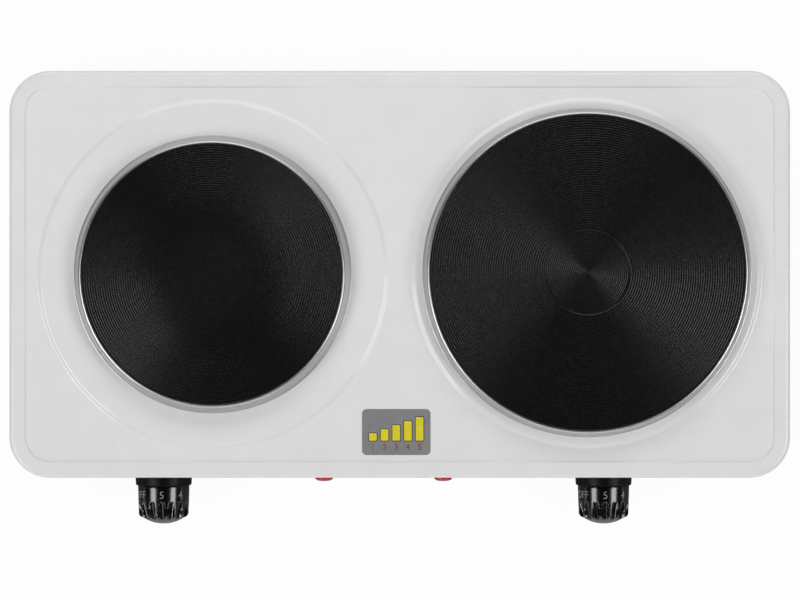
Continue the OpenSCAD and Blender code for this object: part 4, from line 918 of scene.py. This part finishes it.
def grown(name, tree, points=((0, 0, 0),), **values):
    """A plain mesh that a shape tree makes from its named inputs and, if it uses them, points."""
    piece = piece_from(name, points, [])
    modifier = piece.modifiers.new("tree", "NODES")
    modifier.node_group = tree
    ways_in = {item.name: item.identifier for item in tree.interface.items_tree
               if item.in_out == "INPUT"}
    for key, value in values.items():
        modifier[ways_in[key.replace("_", " ")]] = value
    bake_modifiers(piece)
    return piece


# %% Plates: the turned face, with its edge and underside
plate_spokes = 224
edge_flat = 0.7 * MM
middle_r, stud_r, stud_deep = 12 * MM, 2.5 * MM, 8 * MM
turned_faces = {
    "small": dict(Dish_Radius=19.3 * MM, Dish_Depth=0.1 * MM, Dish_Slope=7.0 * MM,
                  Outer_Grooves=41, Inner_Grooves=16, Outer_Depth=0.23 * MM,
                  Inner_Depth=0.04 * MM, Fade_Start=8.0 * MM, Fade_End=56.0 * MM),
    "large": dict(Dish_Radius=25.6 * MM, Dish_Depth=0.45 * MM, Dish_Slope=0.9 * MM,
                  Outer_Grooves=47, Inner_Grooves=22, Outer_Depth=0.23 * MM,
                  Inner_Depth=0.19 * MM, Fade_Start=25.6 * MM, Fade_End=27.0 * MM)}
casting_z, channel_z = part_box("large_plate")[0].z, plate_z - 7 * MM
for side, plate in plates.items():
    edge = plate["radius"]
    face = grown(f"{side}_face", face_tree, Radius=edge - edge_flat, Spokes=plate_spokes,
                 Material=finishes["cast_iron"], **turned_faces[side])
    face.data.transform(Matrix.Translation((0, 0, plate_z)))
    neck = edge - lip_w
    channel = neck - 4 * MM
    below = rounded([
        (edge - edge_flat, plate_z, 0), (edge, plate_z, 0.7 * MM),
        (edge, plate_z - lip_h, 0.8 * MM), (neck, plate_z - lip_h, 0.4 * MM),
        (neck, casting_z, 0.4 * MM), (channel, casting_z, 0.4 * MM),
        (channel, channel_z, 1.5 * MM), (middle_r, channel_z, 1.5 * MM),
        (middle_r, casting_z, 0.5 * MM), (stud_r, casting_z, 0),
        (stud_r, casting_z + stud_deep, 0), (0, casting_z + stud_deep, 0)], 4)
    body = turned("under", below, Matrix.Identity(4), plate_spokes, closed=False)
    body.data.materials.append(finishes["cast_iron"])
    whole = join([face, body], f"{side}_iron_plate")
    whole.data.transform(Matrix.Translation((plate["at"].x, plate["at"].y, 0)))
    tidy(whole, crease=50)
    dress(whole, None, node_name=f"{side}_plate")
    print(whole.name, len(whole.data.polygons), "faces")

# %% [markdown]
# ## Dials
# Each dial is a hollow moulding in glossy black: a slightly tapered barrel with sixteen round
# flutes for the fingers, which start with a round end and deepen to the tip, a rounded shoulder
# and a shallow dome. Cutting the flutes with booleans would leave hard lines, but a moulding has
# a soft edge at every flute. So the skin is worked out point by point: at each angle the radius is
# the smaller of the barrel's and the flute's, blended over a fraction of a millimetre. A hollow
# flute shrinks each lamp to a thin bright line, which is what makes a dial look crisp.

# %% Sizes of a dial, out from the front wall
flute_count = 16
flute_start, flute_run, flute_depth, flute_lean, flute_r = 15.1, 1.0, 0.6, 0.28, 2.1
back_r, front_r, dial_back, shoulder = 15.6, 15.1, 6.1, 22.9
crown = (12.6, 25.3)
tip, boss_r, bore_depth, wall = 29.2, 5.4, 13.3, 2.0
cavity_front_r, bore_r, bore_flat = 10.8, 3.05, 2.8
blend_width, back_edge = 0.16, 0.15


def barrel(height):
    """Radius of the barrel's slight taper."""
    return back_r + (front_r - back_r) * (height - dial_back) / (shoulder - dial_back)


def dial_section():
    """(height, radius) of the dial's skin from its back edge to its tip, in millimetres."""
    section = [(dial_back + back_edge * (1 - cos(a)), back_r - back_edge * (1 - sin(a)))
               for a in np.linspace(0, pi / 2, 4)]
    for height in (*np.linspace(7.5, 14.4, 5), *np.linspace(14.8, 16.4, 14),
                   *np.linspace(16.7, shoulder - 0.3, 18)):
        section.append((height, barrel(height)))
    for k in range(11):
        a = pi / 2 * k / 10
        section.append((shoulder + (crown[1] - shoulder) * sin(a) ** 1.1,
                        crown[0] + (front_r - crown[0]) * cos(a)))
    for reach in np.linspace(0.97, 0.04, 16):
        section.append((crown[1] + (tip - crown[1]) * (1 - reach ** 2.2), crown[0] * reach))
    return section


def fluted(radius, height, angle):
    """Radius of the fluted skin at one height and angle."""
    pitch = 2 * pi / flute_count
    from_middle = (angle + pitch / 2) % pitch - pitch / 2
    run_in = max(0.0, min(1.0, (height - flute_start) / flute_run))
    depth = flute_depth * sqrt(run_in * (2 - run_in)) + (height - flute_start) * flute_lean
    centre = barrel(height) + flute_r - depth
    across = centre * sin(from_middle)
    if abs(across) >= flute_r:
        return radius
    floor = centre * cos(from_middle) - sqrt(flute_r ** 2 - across ** 2)
    share = max(0.0, min(1.0, 0.5 + 0.5 * (floor - radius) / blend_width))
    return floor * (1 - share) + radius * share - blend_width * share * (1 - share)


# %% A dial's mesh
dial_columns = flute_count * 24


def dial_mesh(name, place):
    points, faces, loops = [], [], []

    def loop(radius_at, height):
        start = len(points)
        for k in range(dial_columns):
            a = 2 * pi * k / dial_columns + pi / 2
            r = radius_at(a)
            points.append((r * cos(a) * MM, r * sin(a) * MM, height * MM))
        loops.append(start)

    for height, radius in dial_section():
        loop(lambda a: fluted(radius, height, a - pi / 2), height)
    last = loops[-1]
    for start, end in zip(loops, loops[1:]):
        faces += band(start, end, dial_columns)
    points.append((0, 0, tip * MM))
    faces += [(last + k, last + (k + 1) % dial_columns, len(points) - 1)
              for k in range(dial_columns)]
    inside = [loops[0]]
    for radius, height in ((back_r - wall, dial_back), (back_r - wall, flute_start - wall),
                           (cavity_front_r, shoulder - wall),
                           (cavity_front_r - wall, crown[1] - wall), (boss_r, crown[1] - wall),
                           (boss_r, dial_back)):
        loop(lambda a: radius, height)
        inside.append(loops[-1])
    for height in (dial_back, dial_back + bore_depth):
        loop(lambda a: min(bore_r, bore_flat / cos(a)) if cos(a) > 0 else bore_r, height)
        inside.append(loops[-1])
    for start, end in zip(inside, inside[1:]):
        faces += band(end, start, dial_columns)
    points.append((0, 0, (dial_back + bore_depth) * MM))
    faces += [(inside[-1] + (k + 1) % dial_columns, inside[-1] + k, len(points) - 1)
              for k in range(dial_columns)]
    return tidy(piece_from(name, points, faces, place), crease=45)


# %% [markdown]
# ## Print on the dials
# The numbers and OFF are stamped on the barrel, between the casing and the flutes, and read from
# above as each comes to the mark. A stamp leaves a film of paint that stands a little proud, so
# each mark is a thin solid bent round the barrel. Flat letters would sink into the curve, so
# they are sliced into narrow strips first.

# %% Print: one mark bent round the barrel
mark_height, mark_middle, mark_proud = 4.2, 11.1, 0.05


def lettering(text, thickness, size=1.0, grow=0.0, curve_steps=12):
    """Flat text as a plain mesh, centred on X and with its foot line at 0."""
    curve = bpy.data.curves.new("mark", "FONT")
    curve.body, curve.align_x, curve.size = text, "CENTER", size
    curve.extrude, curve.offset, curve.resolution_u = thickness, grow, curve_steps
    holder = in_scene("mark", curve)
    bpy.context.view_layer.update()
    mesh = bpy.data.meshes.new_from_object(
        holder.evaluated_get(bpy.context.evaluated_depsgraph_get()))
    bpy.data.objects.remove(holder)
    return mesh


def stamped(text, angle, place):
    """Text round the barrel; angle in degrees clockwise from the top, seen from the front."""
    mesh = lettering(text, 0.5, grow=-0.016, curve_steps=4)
    work = bmesh.new()
    work.from_mesh(mesh)
    bmesh.ops.remove_doubles(work, verts=work.verts, dist=1e-5)
    low = min(v.co.y for v in work.verts)
    size = mark_height / (max(v.co.y for v in work.verts) - low)
    left, right = min(v.co.x for v in work.verts), max(v.co.x for v in work.verts)
    for x in np.arange(left, right, 0.35 / size):
        bmesh.ops.bisect_plane(work, geom=[*work.verts, *work.edges, *work.faces],
                               plane_co=(x, 0, 0), plane_no=(1, 0, 0))
    for v in work.verts:
        height = mark_middle - mark_height / 2 + (mark_height - (v.co.y - low) * size)
        skin = barrel(height)
        r = skin + (mark_proud if v.co.z > 0 else -0.1)
        a = radians(90 - angle) - (v.co.x - (left + right) / 2) * size / skin
        v.co = (r * cos(a) * MM, r * sin(a) * MM, height * MM)
    work.to_mesh(mesh)
    work.free()
    mesh.transform(place)
    return in_scene("mark", mesh)


# %% Both dials with their print
marks = (("5", 0), ("4", 45), ("3", 90), ("2", 135), ("1", 180), ("OFF", -60))
for body_name, axis in dial_axis.items():
    place = on_front(axis.x, axis.z)
    dial = dial_mesh(f"{body_name}_dial", place)
    dress(dial, finishes["knob_plastic"], body_name, body_name)
    print_piece = join([stamped(text, angle, place) for text, angle in marks],
                       f"{body_name}_print")
    tidy(print_piece, crease=30, merge=1e-7)
    dress(print_piece, finishes["dial_print"], body_name)
    print(dial.name, len(dial.data.polygons), "faces;", print_piece.name,
          len(print_piece.data.polygons))

# %% [markdown]
# ## Bezels, lamp lenses and the cord gland
# A matt collar behind each dial, a red dome on each lamp and the inlet's bush are all turned
# shapes with small moulded edges. The bezel carries the index that the dial's numbers come to.

# %% Bezels
bezel_r, bezel_t, bezel_web = 17.2 * MM, 5.7 * MM, 4.1 * MM
bezel_hole_r, bezel_hub_r, bezel_wall_r = 5.9 * MM, 7.4 * MM, 15.7 * MM
for body_name, axis in dial_axis.items():
    outline = rounded([
        (bezel_hole_r, 0, 0), (bezel_hub_r, 0, 0), (bezel_hub_r, bezel_web, 0),
        (bezel_wall_r, bezel_web, 0), (bezel_wall_r, 0, 0), (bezel_r, 0, 0.1 * MM),
        (bezel_r - 0.35 * MM, bezel_t, 0.55 * MM), (bezel_hole_r, bezel_t, 0.3 * MM)], 5)
    bezel = turned(f"{body_name}_bezel_ring", outline, on_front(axis.x, axis.z), 160)
    ribs = [(w * MM, (bezel_r + h * MM) - 0.2 * MM, out * MM) for out, w, h in
            ((0.9, 0.45, 0.0), (1.1, 0.3, 0.35), (4.4, 0.3, 0.3), (4.7, 0.45, 0.0))]
    points = [(x, y, z) for w, y, z in ribs for x in (-w, w)] + [
        (x, bezel_r - 0.8 * MM, z * MM) for z in (0.9, 4.7) for x in (-0.45 * MM, 0.45 * MM)]
    faces = [(0, 2, 3, 1), (2, 4, 5, 3), (4, 6, 7, 5), (8, 0, 1, 9), (6, 10, 11, 7),
             (8, 9, 11, 10), (0, 8, 10, 6, 4, 2), (1, 3, 5, 7, 11, 9)]
    rib = piece_from("index", points, faces, on_front(axis.x, axis.z))
    bezel = join([bezel, rib], bezel.name)
    tidy(bezel, crease=40)
    dress(bezel, finishes["bezel_plastic"], node_name=f"{body_name}_bezel")

# %% Lamp lenses
lens_r, lens_out, lens_side = 5.5 * MM, 3.4 * MM, 1.3 * MM
stem_in, stem_out, stem_l = 3.4 * MM, 4.4 * MM, 9 * MM
for side in ("left", "right"):
    dome = [(lens_r * cos(a) ** 0.6, lens_side + (lens_out - lens_side) * sin(a))
            for a in np.linspace(0, pi / 2, 18)]
    outline = ([(stem_in, -stem_l), (stem_out, -stem_l), (stem_out, 0), (lens_r - 0.1 * MM, 0),
                (lens_r, 0.1 * MM)] + dome[:-1] + [(0, lens_out), (0, lens_out - 1.2 * MM),
                                                   (2.4 * MM, 0.9 * MM), (stem_in, 0)])
    x = middle(f"{side}_lamp_lens").x
    lens = turned(f"{side}_lamp_dome", outline, on_front(x, control_z), 96)
    tidy(lens, crease=40)
    dress(lens, finishes["red_lens"], node_name=f"{side}_lamp_lens")

# %% Cord gland
gland_hole_r, gland_r, gland_catch_r, gland_in, gland_out = (
    3.6 * MM, 6.0 * MM, 6.9 * MM, 12 * MM, 2.0 * MM)
outline = rounded([
    (gland_hole_r, -gland_in, 0.3 * MM), (gland_r, -gland_in, 0.3 * MM),
    (gland_r, -3.2 * MM, 0), (gland_catch_r, -3.0 * MM, 0), (gland_catch_r, -1.1 * MM, 0),
    (gland_r, -1.1 * MM, 0), (gland_r, 0, 0), (8.6 * MM, 0, 0.1 * MM),
    (8.0 * MM, gland_out, 0.5 * MM), (gland_hole_r, gland_out, 0.5 * MM)], 4)
gland = turned("cord_gland_bush", outline, on_rear(gland_at.x, gland_at.z), 96)
tidy(gland, crease=40)
dress(gland, finishes["black_plastic"], node_name="cord_gland")

# %% [markdown]
# ## Feet, base sheet and screws
# Underneath, a bare metal sheet with two rows of vent slots closes the casing, and four rubber feet
# hold it off the table. Screws are the same piece many times over, so one screw is made and a
# Geometry Nodes tree puts it at every place.

# %% Feet
foot_h, foot_r, foot_web = 8 * MM, 9 * MM, 3 * MM
foot_names = ("front_left_foot", "front_right_foot", "rear_left_foot", "rear_right_foot")
for foot_name in foot_names:
    at = middle(foot_name)
    outline = rounded([
        (1.8 * MM, foot_h, 0), (1.8 * MM, foot_h - foot_web, 0.1 * MM),
        (3.9 * MM, foot_h - foot_web, 0.2 * MM), (3.9 * MM, 0, 0.5 * MM),
        (7.8 * MM, 0, 0.8 * MM), (foot_r, foot_h, 0.3 * MM)], 5)
    foot = turned(f"{foot_name}_rubber", outline, Matrix.Translation((at.x, at.y, 0)), 72)
    tidy(foot, crease=50)
    dress(foot, finishes["rubber"], node_name=foot_name)

# %% One screw with a cross recess
thread_pitch = 0.35 * MM


def cross_screw(name, shank_r, shank_l, head_r, head_h):
    """A pan-head screw that points up: its head hangs below height 0."""
    outline = rounded([
        (0, -head_h, 0), (head_r * 0.62, -head_h, 0.9 * MM), (head_r, -head_h * 0.35, 0.5 * MM),
        (head_r, 0, 0.1 * MM), (shank_r, 0, 0)], 4)
    for i in range(int((shank_l - 0.8 * MM) / thread_pitch)):
        z = (i + 0.5) * thread_pitch
        outline += [(shank_r, z), (shank_r * 0.82, z + thread_pitch / 2)]
    outline += [(shank_r * 0.8, shank_l - 0.6 * MM), (shank_r * 0.45, shank_l), (0, shank_l)]
    screw = turned(name, outline, Matrix.Identity(4), 24, closed=False)
    for angle in (0, pi / 2):
        low, deep, wide, half = -head_h - 0.2 * MM, -head_h + 1.1 * MM, 0.38 * MM, 1.9 * MM
        corners = [(x * half * s, y * wide * s, z) for z, s in ((low, 1.0), (deep, 0.55))
                   for x, y in ((-1, -1), (1, -1), (1, 1), (-1, 1))]
        slot_cut = piece_from("slot", corners, [(3, 2, 1, 0), (4, 5, 6, 7), (0, 1, 5, 4),
                                                (1, 2, 6, 5), (2, 3, 7, 6), (3, 0, 4, 7)],
                              Matrix.Rotation(angle, 4, "Z"))
        cut_with(screw, [slot_cut])
    return tidy(screw, crease=35)


# %% Tree: one piece set down at many places
OBJECT = "NodeSocketObject"
places_tree, g, end = new_group(
    "set at places", "GeometryNodeTree",
    [("Geometry", GEOMETRY, None), ("Piece", OBJECT, None), ("Turn", FLOAT, 0.0),
     ("Seed", INT, 7), ("Material", MATERIAL, None)], [("Geometry", GEOMETRY)])
piece_info = node(places_tree, "GeometryNodeObjectInfo", "Geometry", None, Object=g["Piece"])
spin = node(places_tree, "FunctionNodeRandomValue", 1, {"data_type": "FLOAT"}, Seed=g["Seed"])
feed(places_tree, g["Turn"], spin.source.node.inputs[3])
turns = node(places_tree, "ShaderNodeCombineXYZ", 0, None, Z=spin)
points_there = node(places_tree, "GeometryNodeMeshToPoints", 0, None, Mesh=g["Geometry"])
copies = node(places_tree, "GeometryNodeInstanceOnPoints", 0, None, Points=points_there,
              Instance=piece_info, Rotation=turns)
real = node(places_tree, "GeometryNodeRealizeInstances", 0, None, Geometry=copies)
painted = node(places_tree, "GeometryNodeSetMaterial", 0, None, Geometry=real,
               Material=g["Material"])
feed(places_tree, painted, end.inputs["Geometry"])


def set_at(name, places, one, material, turn=6.28):
    """One piece copied to every place, each turned a little differently."""
    copies = grown(name, places_tree, places, Piece=one, Turn=turn, Seed=7, Material=material)
    bpy.data.objects.remove(one)
    copies.data.set_sharp_from_angle(angle=radians(35))
    return copies


# %% Base and foot screws
screw_r, screw_head_r, screw_head_h = 1.7 * MM, 3.3 * MM, 1.8 * MM
foot_at = [middle(name) for name in foot_names]
for piece_name, node_name, places, length in (
        ("base_cross_screws", "base_screws",
         [Vector((p.x, p.y, base_z - 0.01 * MM)) for p in base_screw_at], 8 * MM),
        ("foot_cross_screws", "foot_screws",
         [Vector((p.x, p.y, foot_h - foot_web)) for p in foot_at], 6.8 * MM)):
    one = cross_screw("screw", screw_r, length, screw_head_r, screw_head_h)
    screws = set_at(piece_name, places, one, finishes["zinc_screw"])
    dress(screws, None, node_name=node_name)
    print(screws.name, len(screws.data.polygons), "faces")

# %% [markdown]
# ## Pieces carried over from the construction
# Sheet metal never has a perfectly sharp edge: shears leave a burr that is rolled off. The
# construction's base sheet has the right shape, so a copy of it is merged, its flat faces are
# dissolved back together, and its edges get a fine bevel. The facets of the bevel stay sharp,
# because a smooth one would bend the light on the whole flat sheet. Wires and the pieces that the
# casing hides keep their own mesh and only take a finish.

# %% Base sheet with softened edges
sheared_edge_r = 0.15 * MM
base = in_scene("base_cover_finished", frame["nodes"]["base_cover"].data.copy())
work = bmesh.new()
work.from_mesh(base.data)
bmesh.ops.remove_doubles(work, verts=work.verts, dist=1e-6)
bmesh.ops.dissolve_limit(work, angle_limit=radians(1), verts=work.verts, edges=work.edges)
work.to_mesh(base.data)
work.free()
bevel = base.modifiers.new("edge", "BEVEL")
bevel.width, bevel.segments = sheared_edge_r, 2
bevel.limit_method, bevel.angle_limit = "ANGLE", radians(40)
bevel.use_clamp_overlap = True
bake_modifiers(base)
base.data.shade_smooth()
base.data.set_sharp_from_angle(angle=radians(20))
base.data.materials.clear()
dress(base, finishes["base_sheet"], node_name="base_cover")

# %% Finishes for the pieces that keep their construction mesh
slot_of = {part["node"]: part["material_slot"] for part in frame["record"]["subparts"]}
for node_name, source in frame["nodes"].items():
    if not source.hide_render:
        source.data.materials.clear()
        source.data.materials.append(finishes.get(slot_of[node_name], finishes["plated_steel"]))

# %% [markdown]
# ## Heat level label
# A small satin foil lies on the front of the panel between the plates. It shows five bars that
# grow like the dial's five steps. The foil is its own thin piece with a rounded corner, and the
# bars and numbers are films of ink on it.

# %% Label
label_low, label_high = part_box("heat_level_label")
label_r = 2.7 * MM


def rounded_plate(name, low, high, radius, z0, z1, edge=0.03 * MM, steps=8):
    """A thin plate with rounded corners and a slightly rolled upper edge."""
    loops, points, faces = [], [], []
    for inset, z in ((0, z0), (0, z1 - edge), (edge, z1)):
        loops.append(len(points))
        for quarter, (sx, sy) in enumerate(((1, 1), (0, 1), (0, 0), (1, 0))):
            x = high.x - radius if sx else low.x + radius
            y = high.y - radius if sy else low.y + radius
            for k in range(steps + 1):
                a = (quarter + k / steps) * pi / 2
                points.append((x + (radius - inset) * cos(a), y + (radius - inset) * sin(a), z))
    count = 4 * (steps + 1)
    for start, end in zip(loops, loops[1:]):
        faces += band(start, end, count)
    faces.append(tuple(reversed(range(loops[0], loops[0] + count))))
    faces.append(tuple(range(loops[-1], loops[-1] + count)))
    return tidy(piece_from(name, points, faces), crease=35)


def film_finish(name, colour, roughness, metallic=0.0):
    material, tree, shader = finish_named(name, Metallic=metallic)
    mottle = effect(tree, grain_tree, "Value", Size=0.0009, Coarse=0.4)
    paler = tuple(min(1.0, c * 1.18) for c in colour)
    dust = effect(tree, dust_tree, "Mask", Amount=0.08, Patch=0.01)
    feed(tree, blend_colours(tree, dust, blend_colours(tree, mottle.between(0.35, 0.65), colour,
                                                       paler), (0.4, 0.38, 0.33)),
         shader["Base Color"])
    feed(tree, effect(tree, scuff_tree, "Mask", Size=0.008, Amount=0.2) + roughness,
         shader["Roughness"])
    feed(tree, bump(tree, mottle, 0.00001, 0.3), shader["Normal"])
    return material


foil = rounded_plate("heat_label_foil", label_low, label_high, label_r, label_low.z, label_high.z)
dress(foil, film_finish("label foil", (0.21, 0.21, 0.22), 0.42),
      node_name="heat_level_label")

# %% Bars and numbers
ink = {"yellow": film_finish("yellow ink", (0.68, 0.58, 0.01), 0.5),
       "black": film_finish("black ink", (0.02, 0.02, 0.02), 0.45),
       "red": film_finish("red ink", (0.24, 0.02, 0.02), 0.5)}
bar_w, bar_pitch, foot_line = 4.6 * MM, 7.0 * MM, label_low.y + 8.6 * MM
bar_low, bar_step, outline_w = 4.5 * MM, 2.4 * MM, 0.45 * MM
ink_t, number_t, number_size, number_up = 0.01 * MM, 0.008 * MM, 5.2 * MM, 3.0 * MM
bars = {"black": [], "yellow": [], "red": []}
for i in range(5):
    x = (label_low.x + label_high.x) / 2 + (i - 2) * bar_pitch
    tall = bar_low + i * bar_step
    low, high = Vector((x - bar_w / 2, foot_line, 0)), Vector((x + bar_w / 2, foot_line + tall, 0))
    grow, z = Vector((outline_w, outline_w, 0)), label_high.z
    bars["black"].append(rounded_plate("bar", low - grow, high + grow, 0.8 * MM, z, z + ink_t,
                                       0.003 * MM, 4))
    bars["yellow"].append(rounded_plate("bar", low, high, 0.5 * MM, z, z + 2 * ink_t,
                                        0.003 * MM, 4))
    number = lettering(str(i + 1), number_t, number_size)
    number.transform(Matrix.Translation((x, label_low.y + number_up, z + number_t)))
    bars["red"].append(in_scene("number", number))
for colour_name, pieces in bars.items():
    printed = join(pieces, f"heat_label_{colour_name}_ink")
    tidy(printed, crease=30, merge=1e-7)
    printed.data.materials.clear()
    dress(printed, ink[colour_name])
print("label", [round(side, 4) for side in label_high - label_low])

bpy.context.view_layer.update()
